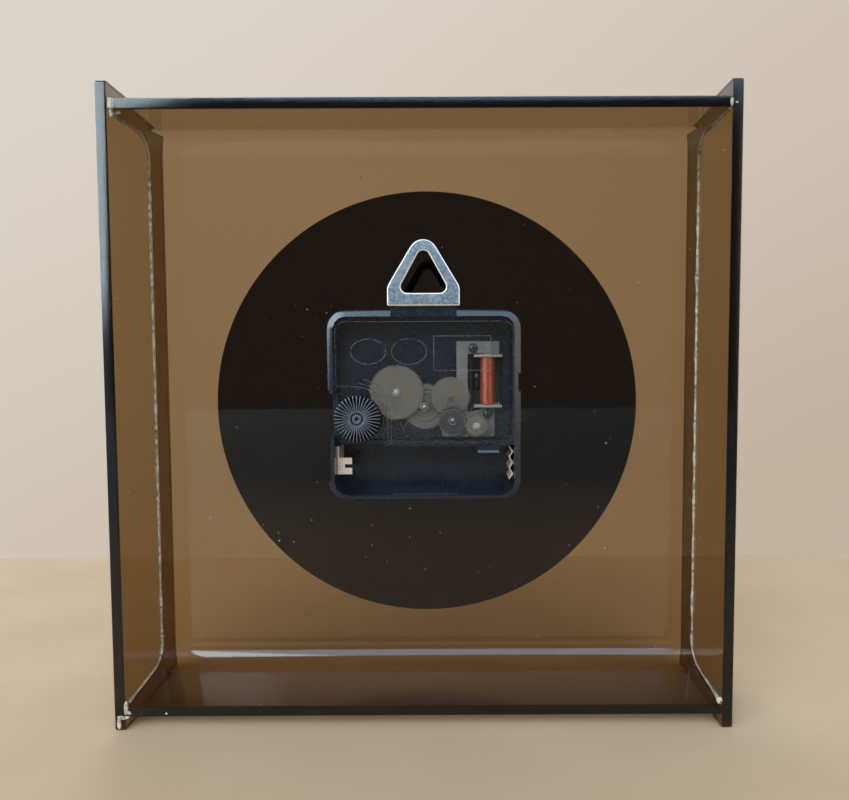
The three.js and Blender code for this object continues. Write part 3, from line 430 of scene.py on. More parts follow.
def addTable(values):
    clearSelection()
    bpy.ops.mesh.primitive_plane_add(size=1)
    table = named("tableTop")
    editAll()
    bpy.ops.mesh.subdivide(number_cuts=8)
    leaveEdit()
    reach = values["tableReach"] * mm
    near = values["tableEdge"] * mm
    table.scale = (2 * reach, reach - near, 1)
    table.location = (0, (reach + near) / 2, 0)
    applyPlace()
    # Painted board, matt with a faint mottle. In reflections it darkens away from the clock: painted shade,
    # the shadow under the camera
    material, add, shader, where = newMaterial("paintedBoard", Roughness=0.62, Specular_IOR_Level=0.2)
    mottle = add("MapRange", [add("TexNoise", [where, across(45), 4, 0.55]), 0.35, 0.65, 0, 1])
    tone = add("Mix", [mottle, *values["table"]], data_type="RGBA")
    # Painted shade: what glossy rays see of the table darkens away from the clock
    away = add("MapRange", [add("SeparateXYZ", [where]).outputs["Y"], *values["tableShadeFade"], 0, 1])
    mirrored = add("Math", [away, add("LightPath").outputs["Is Glossy Ray"]], operation="MULTIPLY")
    tooth = add("TexNoise", [where, across(0.7), 2, 0.55])
    fill(shader, {"Base Color": add("Mix", [mirrored, tone, values["tableShade"]], data_type="RGBA"),
                  "Normal": add("Bump", {"Height": tooth, "Strength": 0.15, "Distance": 0.05 * mm})})
    table.data.materials.append(material)


addRoom(room)
addTable(room)

# Soft boxes where the windows are. Glossy faces see the windows themselves instead
lamps = {
    "windowHigh": {"place": (-125, 2393, 1895), "size": (2800, 1600), "power": 58, "colour": (0.96, 0.98, 1)},
    "windowLeft": {"place": (1924, 1871, 1544), "size": (1890, 2300), "power": 42, "colour": (0.84, 0.94, 1)},
    "fill": {"place": (-700, 500, 420), "size": (500, 500), "power": 0.5, "colour": (1, 0.96, 0.9)},
    "front": {"place": (250, -700, 600), "size": (600, 400), "power": 2.2, "colour": (1, 0.98, 0.95)},
}
lampAim = (0, 0, 90)


def addLamp(name, values):
    clearSelection()
    place = Vector(values["place"]) * mm
    aim = Vector(lampAim) * mm - place
    bpy.ops.object.light_add(type="AREA", location=place, rotation=aim.to_track_quat("-Z", "Y").to_euler())
    lamp = bpy.context.object
    lamp.name = name
    lamp.data.shape = "RECTANGLE"
    lamp.data.size, lamp.data.size_y = [v * mm for v in values["size"]]
    lamp.data.energy = values["power"]
    lamp.data.color = values["colour"]
    lamp.visible_camera = lamp.visible_transmission = lamp.visible_glossy = False


for lampName, lampValues in lamps.items():
    addLamp(lampName, lampValues)
bpy.context.scene.view_settings.view_transform = "Standard"
print("room and lamps ready")


# Materials

def smokedAcrylic(name, density):
    # Cast acrylic dyed brown all through: light that has crossed 3 mm of it is a third as strong and warmer.
    # Its faces are polished, its cut edges are scraped, and dust has settled on it, more of it low down
    material, add, shader, where = newMaterial(
        name, Roughness=0.02, IOR=1.49, Transmission_Weight=1, Base_Color=(1, 1, 1, 1))
    dye = add("VolumeAbsorption", [(0.509, 0.329, 0.028, 1), density])
    fill(material.node_tree.nodes["Material Output"], {"Volume": dye})
    place = add("SeparateXYZ", [where]).outputs
    spots = add("TexVoronoi", {"Vector": where, "Scale": across(3), "Randomness": 1})
    lower = add("MapRange", [place["Z"], 4 * mm, 90 * mm, 0.015, 0])
    patchy = add("MapRange", [add("TexNoise", [where, across(5), 2, 0.55]), 0.5, 0.75, 0, 0.08])
    dust = add("Math", [spots, add("Math", [patchy, lower])], operation="LESS_THAN")
    wiped = add("MapRange", [add("TexNoise", [where, across(30), 3, 0.55]), 0.35, 0.7, 0.012, 0.03])
    sawn = add("MapRange", [place["Y"], 17.1 * mm, 17.2 * mm, 0, 0.11])
    varied = add("Math", [sawn, wiped], operation="MAXIMUM")
    fill(shader, {"Transmission Weight": add("MapRange", [dust, 0, 1, 1, 0.25]),
                  "Roughness": add("Math", [dust, varied], operation="MAXIMUM")})
    letLampsThrough(material, (0.62, 0.53, 0.4, 1))
    return material


def solventCement():
    # Dried solvent cement with dust and trapped air: grey white with bubbles, dark where it is clear
    material, add, shader, where = newMaterial("solventCement", Roughness=0.5, IOR=1.47)
    bubbles = add("MapRange", [add("TexNoise", [where, across(1.3), 4, 0.7]), 0.36, 0.6, 0, 1])
    lumps = add("TexNoise", [where, across(0.5), 3, 0.55])
    fill(shader, {"Base Color": add("Mix", [bubbles, "#5A5248", "#D0CCC0"], data_type="RGBA"),
                  "Normal": add("Bump", {"Height": lumps, "Strength": 0.9, "Distance": 0.4 * mm})})
    return material


def dialAcrylic():
    # Opaque black acrylic with a polished face: a deep black that mirrors softly
    material, add, shader, where = newMaterial("blackAcrylicPolished", IOR=1.49)
    haze = add("TexNoise", [where, across(14), 4, 0.55])
    fill(shader, {"Base Color": add("Mix", [haze, "#0A0908", "#14110E"], data_type="RGBA"),
                  "Roughness": add("MapRange", [haze, 0.3, 0.7, 0.05, 0.12])})
    return material


def mouldedPlastic(name, dark, light, roughness=0.38, size=6):
    # Moulded styrene or ABS, and what is as dull and even: faint flow marks and a satin skin
    material, add, shader, where = newMaterial(name, IOR=1.53)
    flow = add("MapRange", [add("TexNoise", [where, across(size), 3, 0.55]), 0.3, 0.7, 0, 1])
    fine = add("TexNoise", [where, across(0.6), 2, 0.55])
    skin = add("TexNoise", [where, across(0.35), 2, 0.55])
    fill(shader, {"Base Color": add("Mix", [flow, dark, light], data_type="RGBA"),
                  "Roughness": add("MapRange", [fine, 0.3, 0.7, roughness - 0.06, roughness + 0.08]),
                  "Normal": add("Bump", {"Height": skin, "Strength": 0.1, "Distance": 0.02 * mm})})
    return material


def clearPlastic():
    # Moulded crystal styrene: water clear with a cold tint and light moulding ripples
    material, add, shader, where = newMaterial(
        "clearStyreneMoulded", IOR=1.52, Transmission_Weight=1, Base_Color="#E4ECF2")
    cloud = add("TexNoise", [where, across(7), 3, 0.55])
    ripples = add("TexNoise", [where, across(5), 2, 0.55])
    fill(shader, {"Roughness": add("MapRange", [cloud, 0.3, 0.75, 0.005, 0.03]),
                  "Normal": add("Bump", {"Height": ripples, "Strength": 0.15, "Distance": 0.05 * mm})})
    letLampsThrough(material, mirrored=True)
    return material


def mouldedRelief():
    # The cover's raised lines: frosted, and painted pale grey as a painted highlight for the light that they
    # catch
    material, add, shader, where = newMaterial("clearStyreneFrostedGlint", IOR=1.52, Transmission_Weight=0.9)
    varied = add("TexNoise", [where, across(1.5), 3, 0.55])
    # Painted highlight: the pale grey tone, varied by noise, stands for the glints on the raised lines
    fill(shader, {"Base Color": add("Mix", [varied, "#7C858D", "#AEB6BC"], data_type="RGBA"),
                  "Roughness": add("MapRange", [varied, 0.3, 0.7, 0.2, 0.45])})
    letLampsThrough(material, mirrored=True)
    return material


def pressedMetal(name, dark, light, roughness, size=1.2, metallic=1):
    # Sheet metal from the press: fine mottling in tone and gloss
    material, add, shader, where = newMaterial(name, Metallic=metallic)
    spangle = add("MapRange", [add("TexNoise", [where, across(size), 4, 0.65]), 0.3, 0.7, 0, 1])
    fine = add("TexNoise", [where, across(0.3), 3, 0.55])
    fill(shader, {"Base Color": add("Mix", [spangle, dark, light], data_type="RGBA"),
                  "Roughness": add("MapRange", [fine, 0.3, 0.7, roughness - 0.08, roughness + 0.1]),
                  "Normal": add("Bump", {"Height": fine, "Strength": 0.12, "Distance": 0.02 * mm})})
    return material


def zincPlate():
    # Zinc plated steel: a finely mottled blue grey face, and edges rolled over and painted nearly white, a
    # painted highlight for the light they catch
    material = pressedMetal("hangerSteelZincPlated", "#62717D", "#B0BBC3", 0.34, 0.8)
    add = partial(addNode, material.node_tree)
    shader = material.node_tree.nodes["Principled BSDF"]
    # Painted highlight: where the normal turns away from Y the surface goes nearly white and loses its metal
    normal = add("SeparateXYZ", [add("TexCoord").outputs["Normal"]])
    facing = add("Math", [normal.outputs["Y"]], operation="ABSOLUTE")
    edge = add("MapRange", [facing, 0.9, 0.985, 1, 0])
    face = shader.inputs["Base Color"].links[0].from_socket
    fill(shader, {"Base Color": add("Mix", [edge, face, "#F6F6F8"], data_type="RGBA"),
                  "Metallic": add("MapRange", [edge, 0, 1, 0.9, 0.15])})
    return material


def knobPolymer(floor, tip):
    # Moulded black polymer: painted shade makes it black in the hollows at floor mm, and painted highlight
    # makes it grey where the fins end at tip mm
    material = mouldedPlastic("knobPolymerPaintedLight", "#3C4652", "#55606C", 0.28, 1)
    add = partial(addNode, material.node_tree)
    shader = material.node_tree.nodes["Principled BSDF"]
    place = add("SeparateXYZ", [add("TexCoord").outputs["Object"]])
    # Painted shade low in the hollows, painted highlight on the fin tips
    height = add("MapRange", [place.outputs["Y"], floor * mm, tip * mm, 0, 1])
    litTips = shader.inputs["Base Color"].links[0].from_socket
    fill(shader, {"Base Color": add("Mix", [height, "#05070A", litTips], data_type="RGBA")})
    return material


def milkyNylon(hubs):
    # Natural nylon gears: waxy and slightly see-through, darkened as painted shade, with thick pale hubs that
    # are partly a painted highlight
    material, add, shader, where = newMaterial(
        "naturalNylonMoulded", IOR=1.53, Subsurface_Weight=0.2, Subsurface_Scale=0.6 * mm,
        Subsurface_Radius=(1, 0.8, 0.6))
    # Painted shade: the nylon's tone is darkened for the shade it lies in
    tone = add("Mix", [add("TexNoise", [where, across(3), 3, 0.55]), "#504C44", "#605B53"], data_type="RGBA")
    x, _, z = add("SeparateXYZ", [where]).outputs
    flat = add("CombineXYZ", {"X": x, "Z": z})
    # The hubs' pale tone is partly their own and partly a painted highlight for the glints on them
    for hubX, hubZ, radius in hubs:
        away = add("VectorMath", [flat, (hubX * mm, 0, hubZ * mm)], operation="DISTANCE")
        onHub = add("MapRange", [away, (radius - 0.15) * mm, radius * mm, 1, 0])
        tone = add("Mix", [onHub, tone, "#A29E97"], data_type="RGBA")
    gloss = add("MapRange", [add("TexNoise", [where, across(0.5), 2, 0.55]), 0.3, 0.7, 0.36, 0.5])
    fill(shader, {"Base Color": tone, "Roughness": gloss})
    return material


def enamelledCopper():
    # Fine enamelled wire wound in layers: orange red with a lacquer gloss
    material, add, shader, where = newMaterial(
        "enamelledCopperWire", Metallic=0.35, Coat_Weight=0.25, Coat_Roughness=0.25)
    layer = add("TexNoise", [where, across(2.2), 3, 0.55])
    gloss = add("MapRange", [add("TexNoise", [where, across(0.4), 2, 0.55]), 0.3, 0.7, 0.28, 0.42])
    fill(shader, {"Base Color": add("Mix", [layer, "#7A3420", "#9A4A2C"], data_type="RGBA"),
                  "Roughness": gloss})
    return material


paleHubs = [(7.934, 96.228, 1.05), (-15.603, 86.332, 1.05)]  # (x, z) and radius: third wheel and rotor gear

finishes = {
    "acrylic": smokedAcrylic("smokedCastAcrylic", 655),
    "panel": smokedAcrylic("smokedCastAcrylicPanel", 710),
    "cement": solventCement(),
    "dial": dialAcrylic(),
    "housing": mouldedPlastic("housingStyreneBlack", "#0D131C", "#161E2A", 0.24),
    "knob": knobPolymer(9.5, 10.3),
    "wheelDark": mouldedPlastic("wheelPolymerDark", "#1B1B1D", "#272624", 0.42, 2),
    "washer": mouldedPlastic("washerRubberBlack", "#141414", "#1E1E1E", 0.72, 2),
    "bobbin": mouldedPlastic("bobbinNylonPale", "#756C62", "#867D72", 0.45, 2),
    "board": mouldedPlastic("boardPhenolicLacquered", "#20281C", "#2D3525", 0.45, 2),
    "resin": mouldedPlastic("resinDropBlack", "#0B0B0C", "#141414", 0.2, 2),
    "magnet": mouldedPlastic("magnetFerriteDark", "#303033", "#414145", 0.5, 1),
    "cover": clearPlastic(),
    "relief": mouldedRelief(),
    "zinc": zincPlate(),
    "nickel": pressedMetal("contactSteelNickelPlated", "#D3C7B6", "#EFE5D6", 0.28, 2.5, 0.45),
    "steel": pressedMetal("arborSteelGround", "#AEB6BE", "#D0D7DD", 0.22, 0.5),
    "iron": pressedMetal("statorIronRolled", "#5F5D59", "#75736F", 0.5, 2, 0.5),
    "brass": pressedMetal("washerBrassTurned", "#B08D4C", "#D2B06B", 0.28),
    "gilt": pressedMetal("giltAluminiumBrushed", "#BFA468", "#DCC68F", 0.3),
    "nylon": milkyNylon(paleHubs),
    "copper": enamelledCopper(),
}
print("materials ready:", len(finishes))

# Case: one sheet bent over the top, front and bottom between two flat sides.
# The lower bend stops short of square, so that the bottom climbs towards the front

case = {
    "sheet": 3,
    "outerBend": 9.5,
    "bendSegments": 24,
    "floorSlant": 6.91,
    "arris": 0.3,
    "sawTilt": 1.3,
    "panelCorner": 1,
    "panelSegments": 5,
    "bushingHole": 4.5,
    "hands": (-0.4, 92),  # x and z of their axis
}


def bentSheet(values):
    low, high = boxOf("case_wrap")
    depth = high.y - low.y
    slant = math.radians(values["floorSlant"])
    bottom = low.z + depth * math.tan(slant)
    clearSelection()
    middle = ((low.x + high.x) / 2, low.y, (bottom + high.z) / 2)
    bpy.ops.mesh.primitive_plane_add(size=1, location=[v * mm for v in middle], rotation=toY)
    piece = named("bentSheet")
    piece.scale = ((high.x - low.x) * mm, (high.z - bottom) * mm, 1)
    applyPlace()

    def frontCorner(co, level):
        return abs(co.z - level * mm) < weld and abs(co.y - low.y * mm) < weld

    for level, rearLevel in ((bottom, low.z), (high.z, high.z)):
        pick(piece, "EDGE", lambda a, b: frontCorner(a, level) and frontCorner(b, level))
        bpy.ops.mesh.extrude_edges_move(
            TRANSFORM_OT_translate={"value": (0, depth * mm, (rearLevel - level) * mm)})
    for level, turn in ((bottom, math.pi / 2 - slant), (high.z, math.pi / 2)):
        pick(piece, "EDGE", lambda a, b: abs(a.x - b.x) > 0.01 and a.y < (low.y + 1) * mm
             and abs(a.z - level * mm) < weld)
        bpy.ops.mesh.bevel(offset=values["outerBend"] * math.tan(turn / 2) * mm,
                           segments=values["bendSegments"], affect="EDGES")
    bpy.ops.mesh.select_all(action="SELECT")
    bpy.ops.mesh.normals_make_consistent(inside=True)
    leaveEdit()
    middleFace = min(piece.data.polygons, key=lambda face: face.center.y)
    inwards = middleFace.normal.y > 0
    modify(piece, "SOLIDIFY", thickness=values["sheet"] * mm, offset=1 if inwards else -1)

    def atRear(co):
        return co.y > (high.y - 1) * mm

    pick(piece, "VERT", atRear)
    bpy.ops.transform.resize(value=(1, 0, 1), center_override=(0, high.y * mm, 0))
    # The top's rear edge was sawn a little out of square: its lower line goes forward
    pick(piece, "VERT", lambda co: atRear(co) and abs(co.z / mm - high.z + values["sheet"]) < 1)
    back = values["sheet"] * math.tan(math.radians(values["sawTilt"]))
    bpy.ops.transform.translate(value=(0, -back * mm, 0))
    leaveEdit()
    subtract(piece, rod("bushingHole", values["hands"], values["bushingHole"], low.y - 1, low.y + 5))
    soften(piece, values["arris"], angle=60)
    outward(piece)
    return finished(piece, "case", "acrylic", ["case_wrap"])


sideNames = {-1: "left", 1: "right"}

# Knocks along the panels' rear edges: x, z and size in mm
knocks = {
    "rear": 17.5,
    "shape": (1, 0.8, 1.5),
    -1: [(-88.3, 5.3, 0.4), (-88.3, 7.2, 0.3), (-88.3, 9.6, 0.35), (-88.3, 11.4, 0.45), (-88.3, 14.2, 0.3),
         (-88.3, 18.6, 0.25), (-88.3, 96, 0.22), (-86.5, 0.1, 0.35)],
    1: [(88.3, 3.2, 0.45), (87.4, 0, 0.5), (88.3, 41, 0.22), (88.3, 133, 0.2), (86, 182, 0.3)],
}


def sidePanel(side, values):
    node = f"side_panel_{sideNames[side]}"
    low, high = boxOf(node)
    piece = block(f"sidePanel{sideNames[side].title()}", low, high)
    pick(piece, "EDGE", lambda a, b: abs(a.x - b.x) > 1e-4)
    bpy.ops.mesh.bevel(offset=values["panelCorner"] * mm, segments=values["panelSegments"],
                       affect="EDGES")
    soften(piece, values["arris"], angle=60)
    outward(piece)
    chips = [drop(f"chip{i}", (x, knocks["rear"], z), [size * share for share in knocks["shape"]],
                  i * 3.1 + side, 2) for i, (x, z, size) in enumerate(knocks[side])]
    subtract(piece, merged("chips", chips))
    return finished(piece, "case", "panel", [node])


seam = {
    "width": (0.36, 0.78),
    "section": [(0.01, 0.01), (1, 0.01), (0.62, 0.3), (0.3, 0.62), (0.01, 1)],  # shares of the width
    "step": 1.1,
    "bendSteps": 10,
    "short": 0.3,  # of the sheet's rear edge
    "bite": 0.02,  # into the panel
    "wave": 0.43,
    "seed": {-1: 7, 1: 21},
    "blobs": 14,
    "blobSize": 0.5,
    "blobLength": 1.4,  # in steps
    "reach": 1.1,  # never wider
    "drops": {  # (x, y, z) and half sizes in mm of what ran out at the ends
        -1: [(-84.6, 17.1, 8.0, 0.9, 0.5, 1.2), (-85.1, 17.35, 175.5, 0.45, 0.3, 1.1),
             (-86.4, 17.5, 175.3, 0.4, 0.15, 0.3)],
        1: [(84.2, 17.1, 175.7, 0.8, 0.5, 1.7), (84.3, 16.6, 173.4, 0.6, 0.7, 1.4),
            (83.6, 15.4, 174.0, 1.2, 0.6, 0.5), (85.1, 17.3, 6.6, 0.6, 0.35, 2.1),
            (86.0, 17.5, 4.0, 1.9, 0.2, 0.55), (87.1, 17.45, 2.2, 0.6, 0.2, 1.6),
            (84.3, 17.1, 5.2, 0.7, 0.4, 0.6)],
    },
    "lumps": {  # (step along the path, added width in mm)
        -1: [(150, 0.3), (152, 0.25)],
        1: [(1, 0.6), (4, 0.7), (7, 0.4), (31, 0.35), (35, 0.4), (39, 0.3)],
    },
}


# Points and inward normals along the inside of the bent sheet, from the top's rear edge to the bottom's
def cornerPath(values):
    low, high = boxOf("case_wrap")
    inner = values["outerBend"] - values["sheet"]
    slant = math.radians(values["floorSlant"])
    face = low.y + values["sheet"]
    top = high.z - values["sheet"]
    rear = high.y - seam["short"]
    path = []

    def floorAt(y):
        return low.z + values["sheet"] / math.cos(slant) + (high.y - y) * math.tan(slant)

    def straight(start, end, normal):
        count = max(2, round((Vector(end) - Vector(start)).length / seam["step"]))
        for i in range(count):
            path.append((Vector(start).lerp(Vector(end), i / count), Vector(normal)))

    def bend(centre, begin, turn):
        for i in range(seam["bendSteps"]):
            angle = math.radians(begin + turn * i / seam["bendSteps"])
            out = Vector((0, math.cos(angle), math.sin(angle)))
            path.append((Vector(centre) + inner * out, -out))

    axis = face + inner
    foot = floorAt(axis) + inner / math.cos(slant)
    endAngle = math.radians(270) - slant
    bendEnd = (0, axis + inner * math.cos(endAngle), foot + inner * math.sin(endAngle))
    straight((0, rear, top), (0, axis, top), (0, 0, -1))
    bend((0, axis, top - inner), 90, 90)
    straight((0, face, top - inner), (0, face, foot), (0, 1, 0))
    bend((0, axis, foot), 180, 90 - values["floorSlant"])
    straight(bendEnd, (0, rear, floorAt(rear)), (0, math.sin(slant), math.cos(slant)))
    return path


# A fillet that swells and thins along the joint, drawn out ring by ring
def cementBead(side, values):
    rng = random.Random(values["seed"][side])
    low, high = boxOf(f"side_panel_{sideNames[side]}")
    wall = high.x if side < 0 else low.x
    path = cornerPath(case)
    thin, thick = values["width"]
    section = values["section"]
    blobs = [(rng.random() * len(path), values["blobSize"] * rng.uniform(0.4, 1))
             for _ in range(values["blobs"])]
    blobs += [(len(path) - 2, values["blobSize"])] + values["lumps"][side]

    def ringAt(index):
        point, normal = path[index]
        drift = noise.noise(Vector((index * values["wave"], side * 3.7, 0.5)))
        width = thin + (thick - thin) * min(1, max(0, 0.5 + drift))
        for at, size in blobs:
            width += size * math.exp(-((index - at) / values["blobLength"]) ** 2)
        width = min(width, values["reach"])
        return [(point + normal * (b * width)) * mm
                + Vector(((wall - side * (values["bite"] + a * width)) * mm, 0, 0)) for a, b in section]

    clearSelection()
    bpy.ops.mesh.primitive_circle_add(vertices=len(section), radius=mm, fill_type="NGON")
    piece = named("bead")
    for vert, co in zip(piece.data.vertices, ringAt(0)):
        vert.co = co
    bpy.ops.object.mode_set(mode="EDIT")
    bpy.ops.mesh.select_mode(type="EDGE")
    bpy.ops.mesh.select_all(action="SELECT")
    for index in range(1, len(path)):
        bpy.ops.mesh.extrude_edges_move()
        mesh = bmesh.from_edit_mesh(piece.data)
        places = ringAt(index)
        before = ringAt(index - 1)
        for vert in [v for v in mesh.verts if v.select]:
            nearest = min(range(len(section)), key=lambda k: (vert.co - before[k]).length)
            vert.co = places[nearest]
        bmesh.update_edit_mesh(piece.data)
    bpy.ops.mesh.edge_face_add()
    leaveEdit()
    outward(piece)
    modify(piece, "SUBSURF", levels=1, render_levels=1)
    spills = [drop(f"spill{i}", spill[:3], spill[3:], i * 2.3 + side * 5)
              for i, spill in enumerate(values["drops"][side])]
    whole = merged(f"cementBead{sideNames[side].title()}", [piece] + spills)
    return finished(whole, "case", "cement", [f"cement_seam_{sideNames[side]}"], smooth=60)


bentSheet(case)
for sideSign in sideNames:
    sidePanel(sideSign, case)
    cementBead(sideSign, seam)
print("case ready")

# Dial side

dial = {"hole": 4.5, "bevel": 0.25, "sides": 192, "markerBevel": 0.08}


def dialDisc(values):
    low, high = boxOf("dial_disc")
    centre = ((low.x + high.x) / 2, (low.z + high.z) / 2)
    piece = ring("dialDisc", centre, (high.x - low.x) / 2, values["hole"], low.y, high.y,
                 values["sides"])
    soften(piece, values["bevel"], 3, 60)
    return finished(piece, "case", "dial", ["dial_disc"])


dialDisc(dial)
for hour in range(1, 13):
    marker = copyOf(f"hour_marker_{hour}", f"hourMarker{hour}", dial["markerBevel"])
    finished(marker, "case", "gilt", [f"hour_marker_{hour}"])
print("dial ready")

# Movement: the CAD shapes with their edges rounded and the finish of the real ones.
# Each row is node: piece, body, slot, finish, width of the rounding in mm

carried = {
    "rubber_washer": ("rubberWasher", "case", "rubber", "washer", 0.1),
    "dial_washer": ("dialWasher", "case", "brass", "brass", 0.08),
    "fixing_nut": ("fixingNut", "case", "brass", "brass", 0.1),
    "hour_hand": ("hourHand", "hour", "gilt", "gilt", 0.06),
    "minute_hand": ("minuteHand", "minute", "gilt", "gilt", 0.06),
    "second_hand": ("secondHand", "seconds", "gilt", "gilt", 0.05),
    "movement_cover": ("coverClear", "case", "clear_cover", "cover", 0.06),
    "contact_negative": ("contactLeaf", "case", "nickel", "nickel", 0.05),
    "contact_positive": ("contactWaves", "case", "nickel", "nickel", 0.05),
    "train_plate": ("trainPlate", "case", "housing", "housing", 0.08),
    "circuit_board": ("circuitBoard", "case", "board", "board", 0.05),
    "driver_chip": ("driverChip", "case", "resin", "resin", 0.3),
    "quartz_crystal": ("crystalCan", "case", "steel", "steel", 0.08),
    "stator": ("statorSheet", "case", "motor_iron", "iron", 0.06),
    "coil_core": ("coilCore", "case", "motor_iron", "iron", 0.06),
    "coil_bobbin": ("coilBobbin", "case", "bobbin", "bobbin", 0.08),
    "rotor_magnet": ("rotorMagnet", "rotor", "magnet", "magnet", 0.08),
    "rotor_gear": ("rotorGear", "rotor", "nylon", "nylon", 0.04),
    "reduction_wheel": ("reductionWheel", "reduction", "dark_plastic", "wheelDark", 0.03),
    "reduction_arbor": ("reductionArbor", "reduction", "steel", "steel", 0.05),
    "intermediate_wheel": ("intermediateWheel", "intermediate", "nylon", "nylon", 0.03),
    "seconds_arbor": ("secondsArbor", "seconds", "steel", "steel", 0.05),
    "third_wheel": ("thirdWheel", "third", "nylon", "nylon", 0.03),
    "centre_wheel": ("centreWheel", "centre", "nylon", "nylon", 0.03),
    "cannon_pinion": ("cannonPinion", "minute", "nylon", "nylon", 0.04),
    "motion_wheel": ("motionWheel", "motion", "nylon", "nylon", 0.04),
    "hour_wheel": ("hourWheel", "hour", "nylon", "nylon", 0.04),
    "setting_shaft": ("settingShaft", "setting", "nylon", "nylon", 0.04),
}
for node, (name, body, slotName, finish, bevel) in carried.items():
    finished(copyOf(node, name, bevel), body, finish, [node])

# Hanger: stamped from sheet, so its edges are rolled over

hanger = {"bevel": 0.42, "segments": 3}


def hangerPlate(values):
    piece = copyOf("hanger", "hangerPlate")
    soften(piece, values["bevel"], values["segments"], clamp=False)
    return finished(piece, "case", "zinc", ["hanger"])


hangerPlate(hanger)

# Seconds wheel: its web has two moulded rings sunk into it

secondsWheel = {"rings": [(3.75, 3.15), (5.2, 4.55)], "rear": 3.2, "deep": 0.3, "past": 0.02, "bevel": 0.03}


def ringedWheel(values):
    piece = copyOf("seconds_wheel", "secondsWheel")
    floor = values["rear"] - values["deep"]
    for outer, inner in values["rings"]:
        subtract(piece, ring("groove", case["hands"], outer, inner, floor, values["rear"] + values["past"]))
    soften(piece, values["bevel"])
    return finished(piece, "seconds", "nylon", ["seconds_wheel"])


ringedWheel(secondsWheel)

# Black pegs melted over the coil's lugs: (x, z) and radius, and the dome as shares of radius and height

pegs = {
    "places": [(-14.85, 109.2, 1.35), (-19.05, 89.95, 1.3)],
    "front": 3.9,
    "high": 0.75,
    "dome": [(0, 0), (1, 0), (1, 0.45), (0.8, 0.85), (0.4, 1), (0, 1)],
}


def pegHeads(values):
    heads = []
    for i, (x, z, radius) in enumerate(values["places"]):
        dome = [(radius * out, values["front"] + values["high"] * up) for out, up in values["dome"]]
        heads.append(turned(f"peg{i}", (x, z), dome, 40))
    return finished(merged("pegHeads", heads), "case", "housing")


pegHeads(pegs)

# Housing: its rim falls away outwards, and along the bottom inwards

housing = {
    "outline": (-28.4, 27.6, 65.1, 120.1),  # least and most X, then Z
    "corner": 5.4,
    "wall": 1.9,
    "outside": -0.5,  # lugs that stand further out than this stay level
    "mitre": 0.3,
    "rimFrom": 10.3,
    "rimSlope": {"right": 19, "left": 1, "top": 19, "bottom": -9},  # as seen from behind
    "bevel": 0.12,
}


def movementHousing(values):
    piece = copyOf("movement_housing", "housing")
    left, right, bottom, top = values["outline"]
    rear = boxOf("movement_housing")[1].y
    pick(piece, "FACE", lambda middle: middle.y > values["rimFrom"] * mm)
    bpy.ops.mesh.quads_convert_to_tris(quad_method="BEAUTY", ngon_method="BEAUTY")
    leaveEdit()
    corner = values["corner"]
    slope = {side: math.tan(math.radians(angle)) for side, angle in values["rimSlope"].items()}
    for vert in piece.data.vertices:
        if vert.co.y < values["rimFrom"] * mm:
            continue
        overX = abs(vert.co.x / mm - (left + right) / 2) - (right - left) / 2 + corner
        overZ = abs(vert.co.z / mm - (bottom + top) / 2) - (top - bottom) / 2 + corner
        inside = corner - math.hypot(max(overX, 0), max(overZ, 0)) - min(max(overX, overZ), 0)
        across = slope["left" if vert.co.x / mm > (left + right) / 2 else "right"]
        along = slope["top" if vert.co.z / mm > (bottom + top) / 2 else "bottom"]
        fall = across if overX > overZ else along
        if min(overX, overZ) > values["mitre"]:
            fall = max(across, along)
        # A slope under 0 starts at the outer edge instead of the inner one
        if values["outside"] < inside < values["wall"]:
            sunk = (values["wall"] - inside) * fall if fall > 0 else -inside * fall
            vert.co.y = min(vert.co.y, (rear - max(sunk, 0)) * mm)
    soften(piece, values["bevel"])
    return finished(piece, "case", "housing", ["movement_housing"], smooth=25)


movementHousing(housing)
print("movement ready:", len(carried) + 4)

# Lines moulded on the cover's rear face: two ovals and a frame, kept bare inside, a ring round the
# reduction wheel, one round each bearing, the well's double line, an arrow for the way the knob turns,
# and a line along the cover's edge

marks = {
    "line": 0.26,
    "sunk": 10.16,
    "proud": 10.34,
    "ovals": [(15.75, 108.15, 5.2, 3.7), (3.9, 108.15, 5.2, 3.8)],
    "frame": (-19.8, -3.1, 102.5, 112.7),
    "ring": (-8.5, 87.55, 3.85),
    "lines": [  # the arrow's shaft in two parts, its head, and the well's double line
        [(17.1, 100.2), (14.7, 99.3), (12.2, 98.2), (9.7, 96.9)],
        [(7.3, 94.0), (6.5, 91.8), (5.95, 90.1), (5.65, 88.7)],
        [(6.75, 87.75), (5.68, 85.3), (4.6, 87.75)],
        [(25.4, 98.2), (19.6, 98.05), (17.6, 97.8), (15.4, 97.1), (13.6, 96.15), (12.5, 95.1), (11.7, 93.8),
         (11.0, 92), (10.45, 90), (10.15, 88), (10.1, 80.9)],
        [(18.6, 99.0), (16.8, 98.6), (14.9, 97.9), (13.0, 96.9), (11.6, 95.6), (10.7, 94.1),
         (10.0, 92.2), (9.5, 90.2), (9.2, 88), (9.15, 81.4)],
    ],
    "bearings": [(7.934, 96.228), (-0.4, 92), (-8.602, 88.013), (-15.603, 86.332)],
    "bearingRing": (1.2, 0.95),
    "edge": (-26.35, 25.3, 82, 116.8, 3),
    "edgeStop": 16,  # above the edge's bottom, at most X
    "edgeWidth": 0.234,
    "edgeProud": 10.31,
    "bevel": 0.05,
}


